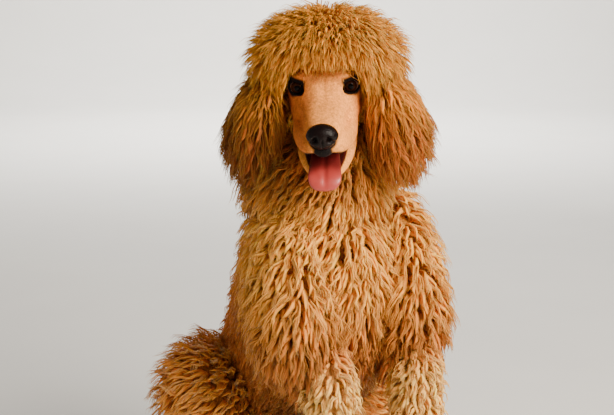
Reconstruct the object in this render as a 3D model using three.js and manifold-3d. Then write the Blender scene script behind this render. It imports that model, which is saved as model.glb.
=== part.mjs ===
// A sitting standard poodle at life size, as a still model. Millimetres, +Z up, the dog faces -Y and
// its left side is +X. Places are named from a point on the floor below the middle of the chest.
import * as THREE from "three";
import { mergeVertices } from "three/addons/utils/BufferGeometryUtils.js";
import Module from "manifold-3d";

const wasm = await Module();
wasm.setup();

// Driving sizes
const GAP = 0.35; // air along every cut between two sub-parts
const CORE = 0.5; // how far up the coat the solid core of a coated form reaches, 1 being the tips
const SIDES = { left: 1, right: -1 };
const BIG = 1000; // reach of the blocks that cut everything on one side of a plane

const HEAD_AT = [-56, -165, 700]; // midpoint between the eyes, the head's own origin
const HEAD_TURN = -28.7; // degrees towards the dog's right
const HEAD_DROP = 12; // degrees that the muzzle points below the horizon
const HEAD_ROLL = -2.3; // degrees, left eye higher
const EYE_RADIUS = 11.5;
const EYE_AT = [33, 7.5, 0];
const EYE_OPENING = [13, 26, 8.4]; // half sizes of the almond between the lids
const LID_TILT = 9; // degrees that the outer corner of each eye is raised
const LID_THICKNESS = 2.6;
const LID_FINENESS = { around: 10, rings: 7 };
const JAW_HINGE = [0, 60, -35];
const JAW_DROP = 17; // degrees that the mouth is open
const NOSE_AT = [0, -104, -32];
const NOSE_SIZE = [20, 14.5, 17]; // half sizes
const FACE_WINDOW_AT = [0, -66, -16]; // the clipped face, which no coat hangs over
const FACE_WINDOW = [48, 76, 36]; // half sizes

// Cuts between the sub-parts of the coat. The head's are in the head's own frame.
const TOPKNOT_LINE = 2; // height at which the topknot ends and the ears and neck begin
const TOPKNOT_FRONT = -150;
const TOPKNOT_BACK = 122;
const EAR_LINE = 52; // how far from the middle of the head the ears part from it and from the neck
const EAR_SLANT = 16; // degrees that this cut leans outwards towards the bottom
const EAR_LOW = [-90, -190]; // front and lower edge of the room that an ear takes
const EAR_HIGH = [130, 60]; // its back and upper edge
const NECK_BASE = [0, -75, 522];
const NECK_SLANT = 30; // degrees that the cut at the base of the neck drops towards the front
const SHOULDER_INSIDE = 44; // how far from the middle of the chest the shoulders part from it
const SHOULDER_AT = [0, -88, 440]; // middle of the shoulder and upper arm, seen from the side
const SHOULDER_SLANT = -20; // degrees that the upper arm leans forwards towards the bottom
const SHOULDER_LOW = [-140, -130]; // from that middle to the front and lower edge
const SHOULDER_HIGH = [86, 180]; // and to the back and upper edge
const FORELEG_INSIDE = 14; // how far from the middle of the forelegs they part from each other
const FORELEG_BACK = -96;
const ELBOW_HEIGHT = 352;
const HIP_INSIDE = 58;
const HIP_HEIGHT = 345;
const HIP_FRONT = -60;
const TAIL_ROOT = 296;
const TAIL_TOP = 130;

// Stations along a coated or bare form: centre x, y, z, half width, half depth, coat length.
// They are in the dog's frame, except those of the head's own parts, which are in the head's frame.
const TORSO = [
  [-27, -78, 548, 80, 68, 44],
  [-11, -68, 470, 90, 104, 46],
  [3, -26, 385, 94, 112, 44],
  [10, 46, 300, 92, 104, 40],
  [6, 118, 215, 88, 92, 38],
  [0, 172, 130, 92, 86, 36],
  [0, 198, 10, 84, 78, 36],
];
const NECK = [
  [0, -66, 480, 70, 76, 46],
  [-20, -72, 570, 84, 72, 48],
  [-22, -72, 640, 60, 54, 46],
  [-22, -64, 688, 46, 38, 38],
];
const SHOULDER = [
  [66, -52, 538, 34, 48, 40],
  [82, -86, 470, 36, 58, 42],
  [88, -118, 386, 40, 54, 44],
  [90, -130, 316, 38, 46, 44],
];
const FOREARM = [
  [72, -142, 350, 28, 36, 26],
  [67, -156, 285, 29, 33, 26],
  [61, -174, 190, 22, 24, 26],
  [57, -190, 100, 19, 20, 25],
  [55, -198, 52, 17, 18, 17],
];
const THIGH = [
  [58, 184, 160, 48, 72, 36],
  [88, 138, 192, 54, 84, 42],
  [122, 80, 218, 54, 68, 43],
  [146, 32, 234, 46, 62, 42],
];
const SHANK = [
  [130, 26, 196, 38, 40, 36],
  [120, 84, 126, 28, 31, 32],
  [108, 150, 74, 20, 24, 28],
  [104, 176, 38, 18, 20, 24],
];
const METATARSUS = [
  [104, 188, 26, 17, 18, 22],
  [110, 118, 23, 16, 17, 22],
  [116, 44, 20, 18, 15, 14],
];
const TAIL = [
  [0, 232, 104, 18, 18, 14],
  [4, 276, 70, 15, 15, 22],
  [16, 312, 48, 12, 12, 38],
  [34, 348, 42, 10, 10, 42],
  [48, 378, 46, 8, 8, 30],
];
const LIE = new THREE.Vector3(0, 0.3, -1); // the way the body's coat falls
const LARGE_CLUMPS = { spacing: 113, length: 110, width: 60 };
const SMALL_CLUMPS = { spacing: 95, length: 92, width: 48 };
const NECK_CLUMPS = { spacing: 74, length: 80, width: 40 };
const CROWN_CLUMPS = { spacing: 68, length: 66, width: 37 };
const EAR_LOCKS = { spacing: 33, length: 68, width: 18, thickness: 6 };
const LEAN = 8; // how far the chest and the elbows sit towards the dog's left
const PAW_LEAN = 26;

const TOPKNOT = [
  [4, 46, -18, 74, 36, 47],
  [4, 43, 14, 77, 38, 47],
  [4, 39, 44, 73, 44, 44],
  [4, 40, 72, 67, 43, 43],
];
const EAR = [
  [72, 38, 0, 22, 38, 36],
  [84, 36, -36, 24, 44, 38],
  [94, 32, -76, 23, 44, 38],
  [94, 30, -118, 18, 34, 36],
];
const SKULL = [
  [0, -100, -36, 19, 16, 0],
  [0, -80, -36, 24, 20, 0],
  [0, -54, -34, 28, 25, 0],
  [0, -30, -31, 31, 29, 0],
  [0, -8, -26, 37, 35, 0],
  [0, 16, -18, 47, 41, 0],
  [0, 46, -12, 54, 45, 0],
  [0, 76, -12, 52, 43, 0],
  [0, 98, -18, 40, 32, 0],
];
const LIP = [
  [9, -99, -47, 9, 11, 0],
  [18, -86, -49, 9, 13, 0],
  [25, -58, -52, 10, 15, 0],
  [30, -30, -52, 11, 16, 0],
  [33, -4, -48, 10, 17, 0],
  [37, 26, -42, 10, 17, 0],
];
const CHEEK = [
  [29, -24, -34, 9, 15, 0],
  [34, 10, -32, 11, 20, 0],
  [40, 46, -26, 12, 22, 0],
];
const PALATE = [
  [0, -88, -62, 14, 11, 0],
  [0, -50, -64, 19, 13, 0],
  [0, -8, -66, 27, 14, 0],
];
const JAW = [
  [0, -84, -60, 20, 9, 0],
  [0, -60, -61, 29, 11, 0],
  [0, -30, -62, 36, 13, 0],
  [0, 0, -61, 40, 15, 0],
  [0, 30, -56, 41, 17, 0],
  [0, 56, -46, 34, 15, 0],
];
const TONGUE = [
  [0, -6, -66, 17, 5, 0],
  [0, -44, -76, 18, 6, 0],
  [0, -74, -85, 20, 6, 0],
  [0, -93, -94, 21, 5.5, 0],
  [0, -101, -105, 19, 4.5, 0],
];

const vector = (a) => new THREE.Vector3(...a);
const radians = THREE.MathUtils.degToRad;
const mirrored = (stations, side) => stations.map(([x, ...others]) => [x * side, ...others]);
const shifted = (stations, by) => stations.map(([x, ...others]) => [x + by, ...others]);

const headPose = new THREE.Matrix4()
  .makeRotationFromEuler(new THREE.Euler(radians(HEAD_DROP), radians(HEAD_ROLL), radians(HEAD_TURN), "ZXY"))
  .setPosition(vector(HEAD_AT));
const jawPose = new THREE.Matrix4()
  .makeTranslation(...JAW_HINGE)
  .multiply(new THREE.Matrix4().makeRotationX(radians(JAW_DROP)))
  .multiply(new THREE.Matrix4().makeTranslation(...JAW_HINGE.map((place) => -place)));

// A closed geometry as a solid. Only its positions are kept, with shared corners merged.
function solidOf(geometry) {
  const bare = geometry.clone();
  bare.deleteAttribute("normal");
  bare.deleteAttribute("uv");
  const merged = mergeVertices(bare, 1e-4);
  return new wasm.Manifold(
    new wasm.Mesh({
      numProp: 3,
      vertProperties: new Float32Array(merged.attributes.position.array),
      triVerts: new Uint32Array(merged.index.array),
    }),
  );
}

function geometryOf(solid) {
  const mesh = solid.getMesh();
  const geometry = new THREE.BufferGeometry();
  geometry.setAttribute("position", new THREE.BufferAttribute(new Float32Array(mesh.vertProperties), 3));
  geometry.setIndex(new THREE.BufferAttribute(new Uint32Array(mesh.triVerts), 1));
  geometry.computeVertexNormals();
  return geometry;
}

const moved = (solid, pose) => solidOf(geometryOf(solid).applyMatrix4(pose));
const joined = (solids) => wasm.Manifold.union(solids);

// The largest closed piece of a solid, without any scrap that a cut has set free.
function largest(solid) {
  return solid.decompose().reduce((best, piece) => (piece.volume() > best.volume() ? piece : best));
}

// A ball with three half sizes, turned about its own centre.
function ball(at, halfSizes, { around = 12, rings = 8, turn = [0, 0, 0] } = {}, grow = 0) {
  const geometry = new THREE.SphereGeometry(1, around, rings);
  geometry.scale(...halfSizes.map((half) => half + grow));
  geometry.applyMatrix4(new THREE.Matrix4().makeRotationFromEuler(new THREE.Euler(...turn.map(radians))));
  return solidOf(geometry.translate(...at));
}

// A block between two corners, in the frame of a pose.
function block(low, high, pose = new THREE.Matrix4(), grow = 0) {
  const [from, to] = [vector(low).subScalar(grow), vector(high).addScalar(grow)];
  const size = to.clone().sub(from);
  const geometry = new THREE.BoxGeometry(size.x, size.y, size.z);
  geometry.translate(...from.add(to).multiplyScalar(0.5));
  return solidOf(geometry.applyMatrix4(pose));
}

// A block on one side of the dog, from a distance off its middle line outwards.
function sideBlock(side, middle, inside, low, high, pose, grow) {
  const [near, far] = [middle + inside * side, BIG * side].sort((a, b) => a - b);
  return block([near, ...low], [far, ...high], pose, grow);
}

const turned = (pose, turn, at = [0, 0, 0]) =>
  pose.clone().multiply(
    new THREE.Matrix4().makeRotationFromEuler(new THREE.Euler(...turn.map(radians))).setPosition(vector(at)),
  );
const here = new THREE.Matrix4();

// A rounded form carried along a curve. Its section is an ellipse and both ends are domed.
class Form {
  constructor(stations, { across = [1, 0, 0], around = 10, rings = 6, dome = 3 } = {}) {
    this.path = new THREE.CatmullRomCurve3(stations.map(([x, y, z]) => new THREE.Vector3(x, y, z)));
    this.sizes = new THREE.CatmullRomCurve3(stations.map(([, , , a, b, c]) => new THREE.Vector3(a, b, c)));
    Object.assign(this, { across: vector(across), around, rings, dome });
  }

  // Where the form's middle line is at t from 0 to 1, which way it runs, and how big it is there.
  frameAt(t) {
    const along = this.path.getTangent(t);
    const depth = new THREE.Vector3().crossVectors(this.across, along).normalize();
    const side = new THREE.Vector3().crossVectors(along, depth).normalize();
    return { centre: this.path.getPoint(t), along, depth, side, size: this.sizes.getPoint(t) };
  }

  // The point at height h from -1 to 1 along the form and at an angle round it, raised over the flesh
  // by a share of the coat and by a fixed thickness.
  point(h, angle, share = 0, grow = 0) {
    const { centre, along, depth, side, size } = this.frameAt((h + 1) / 2);
    const ring = Math.max(0, 1 - Math.abs(h) ** this.dome) ** (1 / this.dome);
    const raised = share * size.z + grow;
    return centre
      .addScaledVector(side, (size.x + raised) * ring * Math.cos(angle))
      .addScaledVector(depth, (size.y + raised) * ring * Math.sin(angle))
      .addScaledVector(along, raised * Math.sign(h) * Math.abs(h) ** (this.dome - 1));
  }

  // The way out of the form at height h and an angle.
  normal(h, angle, share) {
    const step = 0.02;
    const place = this.point(h, angle, share);
    const further = this.point(h + step, angle, share).sub(place);
    const round = this.point(h, angle + step, share).sub(place);
    return further.cross(round).normalize();
  }

  // Whether a point lies inside the form, out to a share of its coat.
  holds(point, share) {
    const samples = Array.from({ length: 20 }, (_, i) => this.frameAt(i / 19));
    return samples.some(({ centre, along, depth, side, size }) => {
      const offset = point.clone().sub(centre);
      const raised = share * size.z;
      return (
        Math.hypot(
          offset.dot(side) / (size.x + raised),
          offset.dot(depth) / (size.y + raised),
          offset.dot(along) / (0.5 * size.x + raised),
        ) < 1
      );
    });
  }

  solid(share = 0, grow = 0) {
    const geometry = new THREE.SphereGeometry(1, this.around, this.rings);
    const at = geometry.attributes.position;
    for (let i = 0; i < at.count; i++) {
      const place = this.point(at.getY(i), Math.atan2(at.getZ(i), at.getX(i)), share, grow);
      at.setXYZ(i, place.x, place.y, place.z);
    }
    return solidOf(geometry);
  }
}

const eyeAt = (side) => [EYE_AT[0] * side, EYE_AT[1], EYE_AT[2]];

// The bare skull and muzzle, with the upper lips, cheeks and lids.
function skullForms(grow = 0) {
  const parts = [new Form(SKULL, { around: 16, rings: 11 }).solid(0, grow)];
  for (const side of Object.values(SIDES)) {
    parts.push(new Form(mirrored(LIP, side), { around: 7, rings: 7 }).solid(0, grow));
    parts.push(new Form(mirrored(CHEEK, side), { around: 8, rings: 6 }).solid(0, grow));
    parts.push(ball(eyeAt(side), Array(3).fill(EYE_RADIUS + LID_THICKNESS), LID_FINENESS, grow));
  }
  return joined(parts);
}

const eyeball = (side, grow = 0) => ball(eyeAt(side), Array(3).fill(EYE_RADIUS), {}, grow);

// The almond between the lids, pointing forwards and a little outwards.
function lidOpening(side) {
  const at = [EYE_AT[0] * side * 1.1, EYE_AT[1] - 18, EYE_AT[2]];
  return ball(at, EYE_OPENING, { around: 10, rings: 8, turn: [0, -LID_TILT * side, 18 * side] });
}

function nosePad(grow = 0) {
  return ball(NOSE_AT, NOSE_SIZE, { around: 14, rings: 8 }, grow);
}

// A nostril: a slanting oval hole that runs in from the front and opens to the side.
function nostril(side) {
  const hole = ball([8.2 * side, -117.5, -33], [4, 7, 3.2], { around: 6, rings: 5, turn: [0, 25 * side, 0] });
  const slit = ball([14 * side, -113, -36.5], [5.5, 6, 1.6], { around: 6, rings: 5, turn: [0, -20 * side, 0] });
  return joined([hole, slit]);
}

const jawForm = (grow = 0) => moved(new Form(JAW, { around: 12, rings: 8 }).solid(0, grow), jawPose);
const tongueForm = (grow = 0) => new Form(TONGUE, { around: 10, rings: 9, dome: 2.2 }).solid(0, grow);

// The head's own pieces, in the head's frame
const head = largest(
  skullForms()
    .subtract(new Form(PALATE, { around: 12, rings: 8 }).solid())
    .subtract(joined(Object.values(SIDES).flatMap((side) => [eyeball(side, GAP), lidOpening(side)])))
    .subtract(nosePad(GAP))
    .subtract(block([-0.7, -130, -63], [0.7, -96, -43]))
    .subtract(tongueForm(GAP)),
);
const nose = largest(nosePad().subtract(joined(Object.values(SIDES).map(nostril))));
const jaw = largest(jawForm().subtract(skullForms(GAP)).subtract(tongueForm(GAP)));
const tongue = largest(tongueForm());

// The forms of the whole coat: the body's in the dog's frame, the head's turned with the head.
function coatedForms() {
  const forms = {
    torso: new Form(TORSO, { around: 13, rings: 8 }),
    neck: new Form(NECK, { rings: 6 }),
    tail: new Form(TAIL, { around: 8 }),
  };
  for (const [name, side] of Object.entries(SIDES)) {
    forms["shoulder_" + name] = new Form(shifted(mirrored(SHOULDER, side), LEAN));
    forms["forearm_" + name] = new Form(shifted(mirrored(FOREARM, side), PAW_LEAN));
    forms["thigh_" + name] = new Form(mirrored(THIGH, side));
    forms["shank_" + name] = new Form(mirrored(SHANK, side), { around: 9 });
    forms["metatarsus_" + name] = new Form(mirrored(METATARSUS, side), { around: 8, rings: 5 });
  }
  return forms;
}

// A repeatable draw between -1 and 1.
function drawing(seed) {
  let state = seed;
  return () => {
    state = (state * 1103515245 + 12345) % 2147483648;
    return state / 1073741824 - 1;
  };
}

// One clump of curls: a rounded lump that lies along the coat, its root sunk and its tip raised.
function clump(root, out, lie, rise, { length, width, around = 5, rings = 3 }) {
  const places = [
    root.clone().addScaledVector(lie, -0.45 * length).addScaledVector(out, -0.45 * rise),
    root.clone().addScaledVector(lie, 0.05 * length).addScaledVector(out, 0.2 * rise),
    root.clone().addScaledVector(lie, 0.6 * length).addScaledVector(out, 0.5 * rise),
  ];
  const taper = [0.7, 1, 0.6];
  const stations = places.map((p, i) => [...p.toArray(), width * taper[i], 0.75 * rise * taper[i], 0]);
  const across = new THREE.Vector3().crossVectors(lie, out).normalize();
  return new Form(stations, { across: across.toArray(), around, rings, dome: 2.4 }).solid();
}

// One flat lock: it leaves the skin outwards, then bends over and tapers along the lie of the coat.
function lock(root, out, lie, rise, { length, width, thickness, around = 5, rings = 4 }) {
  const middle = out.clone().multiplyScalar(0.6).addScaledVector(lie, 0.4).normalize();
  const reach = out.clone().multiplyScalar(0.25).addScaledVector(lie, 0.75).normalize();
  const places = [
    root.clone().addScaledVector(out, -0.3 * rise),
    root.clone().addScaledVector(middle, 0.4 * length),
    root.clone().addScaledVector(middle, 0.35 * length).addScaledVector(reach, 0.6 * length),
  ];
  const taper = [0.75, 1, 0.4];
  const stations = places.map((p, i) => [...p.toArray(), width * taper[i], thickness * taper[i], 0]);
  const across = new THREE.Vector3().crossVectors(lie, out).normalize();
  return new Form(stations, { across: across.toArray(), around, rings, dome: 2.2 }).solid();
}

// Rows of clumps or locks over a form, set close and staggered, wherever a test lets one stand. They
// rise from the core to the end of the coat.
function tuftsOver(form, make, { spacing, from = -0.9, to = 0.9, lie, allowed, seed, ...shape }) {
  const draw = drawing(seed);
  const tufts = [];
  const rows = Math.max(2, Math.round((form.path.getLength() * (to - from)) / 2 / spacing));
  for (let row = 0; row < rows; row++) {
    const h = from + ((to - from) * (row + 0.5)) / rows;
    const { size } = form.frameAt((h + 1) / 2);
    const girth = Math.PI * (size.x + size.y + 2 * CORE * size.z);
    const count = Math.max(4, Math.round(girth / spacing));
    for (let i = 0; i < count; i++) {
      const angle = ((i + (row % 2) / 2 + draw() * 0.12) * 2 * Math.PI) / count;
      const height = h + (draw() * 0.12 * (to - from)) / rows;
      const root = form.point(height, angle, CORE);
      const out = form.normal(height, angle, CORE);
      if (!allowed(root, out)) continue;
      const flow = lie.clone().addScaledVector(out, -lie.dot(out)).normalize();
      const bigger = 1 + 0.12 * draw();
      const rise = (1 - CORE) * size.z * (1 + 0.12 * draw());
      tufts.push(make(root, out, flow, rise, { ...shape, length: shape.length * bigger }));
    }
  }
  return tufts;
}

// Everything on the ear's side of the cut between the ear and the head.
const earBlock = (side, pose, grow = 0) =>
  sideBlock(side, 0, EAR_LINE, EAR_LOW, EAR_HIGH, turned(pose, [0, -EAR_SLANT * side, 0]), grow);

// The topknot ends at the line of the ears, and the ears hang from it.
function headCoat() {
  const crown = new Form(TOPKNOT, { around: 14, rings: 9, dome: 2 });
  const solids = [crown.solid(CORE).intersect(block([-BIG, -BIG, TOPKNOT_LINE], [BIG, BIG, BIG]))];
  const fall = new THREE.Vector3(0, 0.1, -1);
  const onCrown = (root) => root.z > TOPKNOT_LINE + 16;
  const curls = { ...CROWN_CLUMPS, from: -0.3, to: 1, lie: fall, allowed: onCrown, seed: 3 };
  solids.push(...tuftsOver(crown, clump, curls));
  for (const side of Object.values(SIDES)) {
    const flare = new THREE.Vector3(0.25 * side, 0, -1);
    const outside = (root, out) => out.x * side > -0.1 && root.z > -115 && root.z < -10;
    const ear = new Form(mirrored(EAR, side));
    const locks = tuftsOver(ear, lock, { ...EAR_LOCKS, lie: flare, allowed: outside, seed: 5 });
    solids.push(joined([ear.solid(CORE), ...locks]).intersect(earBlock(side, here)));
  }
  return moved(joined(solids).subtract(ball(FACE_WINDOW_AT, FACE_WINDOW)), headPose);
}

// A clean-shaven foot with four toes, each with its claw. Its own frame has the ankle above the
// origin, the toes forwards, and the floor at 0.
const PAW_PASTERN = [
  [0, 4, 86, 15, 16, 0],
  [0, 2, 50, 15, 17, 0],
  [0, -8, 20, 22, 24, 0],
  [0, -28, 2, 27, 19, 0],
];
const TOES = [
  { root: -19, spread: -9, reach: 40 },
  { root: -6.5, spread: -3, reach: 50 },
  { root: 6.5, spread: 3, reach: 50 },
  { root: 19, spread: 9, reach: 40 },
];
const pasternForm = () => new Form(PAW_PASTERN, { around: 10, rings: 6 });

function paw() {
  const parts = [pasternForm().solid()];
  for (const { root, spread, reach } of TOES) {
    const toe = [
      [root, -16, 17, 8.5, 10, 0],
      [root + spread * 0.7, -reach * 0.7, 10, 9, 13, 0],
      [root + spread, -reach, 5, 8, 9, 0],
    ];
    const claw = [
      [root + spread, -reach - 4, 11, 3, 4, 0],
      [root + spread * 1.1, -reach - 12, 9, 2.4, 3, 0],
      [root + spread * 1.2, -reach - 19, 4, 1, 1.2, 0],
    ];
    parts.push(new Form(toe, { around: 6, rings: 4 }).solid());
    parts.push(new Form(claw, { around: 4, rings: 3 }).solid());
  }
  return joined(parts);
}

const floor = block([-BIG, -BIG, -BIG], [BIG, BIG, 0]);
const onFloor = (solid) => largest(solid.subtract(floor));

// Where each paw stands, and how many degrees it points outwards.
function pawPose(end, side, turn) {
  return new THREE.Matrix4().makeRotationZ(radians(turn * side)).setPosition(vector(end));
}
const pawPoses = {};
for (const [name, side] of Object.entries(SIDES)) {
  const [foreX, foreY] = shifted(mirrored(FOREARM, side), PAW_LEAN).at(-1);
  pawPoses["forepaw_" + name] = pawPose([foreX, foreY - 6, 0], side, 4);
  const [hindX, hindY] = mirrored(METATARSUS, side).at(-1);
  pawPoses["hindpaw_" + name] = pawPose([hindX, hindY - 2, 0], side, 12);
}

// The whole coat in one, clear of the bare head and feet, then cut into the sub-parts.
const bodyForms = coatedForms();

// Clumps over every coated form of the body, where no other form's core covers them.
function bodyClumps() {
  return Object.entries(bodyForms).flatMap(([name, form], i) => {
    const thin = /forearm|shank|metatarsus|tail/.test(name);
    const size = name === "neck" ? NECK_CLUMPS : thin ? SMALL_CLUMPS : LARGE_CLUMPS;
    const others = Object.values(bodyForms).filter((other) => other !== form);
    const allowed = (root) => root.z > 14 && !others.some((other) => other.holds(root, CORE + 0.15));
    return tuftsOver(form, clump, { ...size, lie: LIE, allowed, seed: 11 + i });
  });
}

const bareHead = moved(joined([skullForms(GAP), jawForm(GAP), tongueForm(GAP)]), headPose);
const bareFeet = joined(Object.values(pawPoses).map((pose) => moved(pasternForm().solid(0, GAP), pose)));
let coat = joined([...Object.values(bodyForms).map((form) => form.solid(CORE)), ...bodyClumps(), headCoat()])
  .subtract(bareHead)
  .subtract(bareFeet)
  .subtract(floor);

const topknotBlock = (grow) =>
  block([-BIG, TOPKNOT_FRONT, TOPKNOT_LINE], [BIG, TOPKNOT_BACK, BIG], headPose, grow);

// The upper arm with the shoulder, and the foreleg in front of the chest.
function forelegBlock(side, grow) {
  const upper = turned(here, [SHOULDER_SLANT, 0, 0], SHOULDER_AT);
  const foreleg = [[-BIG, -1], [FORELEG_BACK, ELBOW_HEIGHT], here, grow];
  return joined([
    sideBlock(side, LEAN, SHOULDER_INSIDE, SHOULDER_LOW, SHOULDER_HIGH, upper, grow),
    sideBlock(side, PAW_LEAN, FORELEG_INSIDE, ...foreleg),
  ]);
}

const hindlegBlock = (side, grow) =>
  sideBlock(side, 0, HIP_INSIDE, [HIP_FRONT, -1], [BIG, HIP_HEIGHT], here, grow);

// Cuts one piece out of the coat with a shape, and keeps air along the cut.
function cutOut(shape) {
  const piece = largest(coat.intersect(shape(0)));
  coat = coat.subtract(shape(GAP));
  return piece;
}

const pieces = {};
pieces.topknot = cutOut(topknotBlock);
for (const [name, side] of Object.entries(SIDES)) {
  pieces["ear_" + name] = cutOut((grow) => earBlock(side, headPose, grow));
}
const neckPose = turned(here, [NECK_SLANT, 0, 0], NECK_BASE);
pieces.neck = cutOut((grow) => block([-BIG, -BIG, 0], [BIG, BIG, BIG], neckPose, grow));
for (const [name, side] of Object.entries(SIDES)) {
  pieces["foreleg_" + name] = cutOut((grow) => forelegBlock(side, grow));
}
pieces.tail = cutOut((grow) => block([-BIG, TAIL_ROOT, -1], [BIG, BIG, TAIL_TOP], here, grow));
for (const [name, side] of Object.entries(SIDES)) {
  pieces["hindleg_" + name] = cutOut((grow) => hindlegBlock(side, grow));
}
pieces.torso = largest(coat);

const COLOURS = {
  coat: 0xc98a48,
  ear: 0xb0682b,
  clipped: 0xe0b183,
  leather: 0x1c1412,
  eye: 0x1d0f0a,
  tongue: 0xc9706a,
};
const group = new THREE.Group();
group.name = "standard_poodle";
const headGroup = new THREE.Group();
headGroup.applyMatrix4(headPose);
group.add(headGroup);

function addMesh(parent, name, solid, colour, roughness) {
  const material = new THREE.MeshStandardMaterial({ color: colour, roughness, metalness: 0 });
  const mesh = new THREE.Mesh(geometryOf(solid), material);
  mesh.name = name;
  parent.add(mesh);
  return mesh;
}

addMesh(headGroup, "head", head, COLOURS.clipped, 0.85);
addMesh(headGroup, "lower_jaw", jaw, COLOURS.clipped, 0.85);
addMesh(headGroup, "tongue", tongue, COLOURS.tongue, 0.35);
addMesh(headGroup, "nose", nose, COLOURS.leather, 0.35);
for (const [name, side] of Object.entries(SIDES)) {
  addMesh(headGroup, "eye_" + name, eyeball(side), COLOURS.eye, 0.08);
}
for (const [name, pose] of Object.entries(pawPoses)) {
  addMesh(group, name, onFloor(moved(paw(), pose)), COLOURS.clipped, 0.85);
}
for (const [name, solid] of Object.entries(pieces)) {
  addMesh(group, name, solid, name.startsWith("ear") ? COLOURS.ear : COLOURS.coat, 0.9);
}

// The origin is the middle of the footprint, on the floor.
const footprint = new THREE.Box3().setFromObject(group, true).getCenter(new THREE.Vector3());
group.position.set(-footprint.x, -footprint.y, 0);

export default group;
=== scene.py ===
"""A sitting standard poodle at life size: one skin, its curly coat, and the bare parts of its face.

Places are named in millimetres in the dog's own frame, from a point on the floor below the middle of
the chest: +Z up, the dog faces -Y, its left side is +X. The head's parts are named in the head's own
frame, which starts midway between the eyes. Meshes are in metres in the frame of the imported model.
"""

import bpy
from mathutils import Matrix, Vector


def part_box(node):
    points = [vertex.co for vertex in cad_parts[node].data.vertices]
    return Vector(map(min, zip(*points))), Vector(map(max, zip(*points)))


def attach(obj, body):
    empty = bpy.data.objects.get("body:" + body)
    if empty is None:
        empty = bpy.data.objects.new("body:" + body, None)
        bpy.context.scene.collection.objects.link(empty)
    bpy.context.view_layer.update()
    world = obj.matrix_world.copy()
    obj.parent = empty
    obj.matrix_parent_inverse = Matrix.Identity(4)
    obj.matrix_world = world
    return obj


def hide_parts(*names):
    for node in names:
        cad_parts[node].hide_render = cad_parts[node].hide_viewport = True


bl_info = {
    "name": "Standard poodle",
    "version": (1, 0, 0),
    "blender": (4, 5, 0),
    "location": "View3D > Sidebar > Poodle",
    "description": "Builds a sitting standard poodle with its coat around a packed frame",
    "category": "Add Mesh",
}

import math

import bpy
import numpy as np
from mathutils import Matrix

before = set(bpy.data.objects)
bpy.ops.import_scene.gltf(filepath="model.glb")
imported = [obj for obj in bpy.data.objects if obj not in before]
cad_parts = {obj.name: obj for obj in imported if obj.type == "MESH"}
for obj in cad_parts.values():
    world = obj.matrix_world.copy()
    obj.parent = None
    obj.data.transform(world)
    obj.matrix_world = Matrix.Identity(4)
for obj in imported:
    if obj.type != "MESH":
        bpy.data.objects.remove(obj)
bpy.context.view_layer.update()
IMAGE_WIDTH, IMAGE_HEIGHT = 614, 415
MM = 0.001
TAU = 2 * math.pi
SIDES = {"left": 1, "right": -1}

# The head's place and its parts
HEAD_AT = (-56, -165, 700)
HEAD_TURN, HEAD_DROP, HEAD_ROLL = -28.7, 12, -2.3
EYE_AT = (33, 7.5, 0)
EYE_RADIUS = 11.5
EYE_OPENING = (13, 26, 8.4)
EYE_ROOM = 0.1
LID_THICKNESS = 2.8
LID_TILT = 9
JAW_HINGE = (0, 60, -35)
JAW_DROP = 17
NOSE_AT = (0, -104, -32)
NOSE_SIZE = (20, 14.5, 17)
PHILTRUM_AT = (0, -106, -55)
PHILTRUM = (13, 20, 16)
MUZZLE_END = (0, -98, -50), (13, 9, 11)
BROW_AT, BROW_SIZE = (28, 4, 15), (17, 15, 8)
FACE_WINDOW = (52, 36, -12, -75, 16)  # half width, arch's height, its foot, lower end, how far back
JAW_WINDOW_AT = (0, -58, -82)
JAW_WINDOW = (50, 68, 38)

# Stations along each form of the flesh: centre x, y, z, half width, half depth, coat length
BODY_STATIONS = {
    "torso": [
        (-27, -78, 548, 80, 68, 44), (-11, -68, 470, 90, 104, 46), (3, -26, 385, 94, 112, 44),
        (10, 46, 300, 92, 104, 40), (6, 118, 215, 88, 92, 38), (0, 172, 130, 92, 86, 36),
        (0, 198, 10, 84, 78, 36)],
    "neck": [
        (0, -66, 480, 70, 76, 46), (-20, -72, 570, 84, 72, 48), (-22, -72, 640, 60, 54, 46),
        (-22, -64, 688, 46, 38, 38)],
    "tail": [
        (0, 232, 104, 18, 18, 14), (4, 276, 70, 15, 15, 22), (16, 312, 48, 12, 12, 38),
        (34, 348, 42, 10, 10, 42), (48, 378, 46, 8, 8, 30)],
}
LIMB_STATIONS = {
    "shoulder": [
        (66, -52, 538, 34, 48, 40), (82, -86, 470, 36, 58, 42), (88, -118, 386, 40, 54, 44),
        (90, -130, 316, 38, 46, 44)],
    "forearm": [
        (72, -142, 350, 28, 36, 26), (67, -156, 285, 29, 33, 26), (61, -174, 190, 22, 24, 26),
        (57, -190, 100, 19, 20, 25), (55, -198, 52, 17, 18, 17)],
    "thigh": [
        (58, 184, 160, 48, 72, 36), (88, 138, 192, 54, 84, 42), (122, 80, 218, 54, 68, 43),
        (146, 32, 234, 46, 62, 42)],
    "shank": [
        (130, 26, 196, 38, 40, 36), (120, 84, 126, 28, 31, 32), (108, 150, 74, 20, 24, 28),
        (104, 176, 38, 18, 20, 24)],
    "metatarsus": [
        (104, 188, 26, 17, 18, 22), (110, 118, 23, 16, 17, 22), (116, 44, 20, 18, 15, 14)],
}
LEAN = {"shoulder": 8, "forearm": 26}
CROWN_STATIONS = [
    (4, 46, -18, 74, 36, 47), (4, 43, 14, 77, 38, 47), (4, 39, 44, 73, 44, 44), (4, 40, 72, 67, 43, 43)]
NAPE_STATIONS = [(0, 44, -14, 60, 50, 38), (0, 76, -16, 56, 48, 38), (0, 104, -24, 42, 36, 38)]
EAR_STATIONS = [
    (72, 38, 0, 22, 38, 26), (84, 36, -36, 24, 44, 38), (94, 32, -76, 23, 44, 38),
    (94, 30, -118, 18, 34, 36)]
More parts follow.
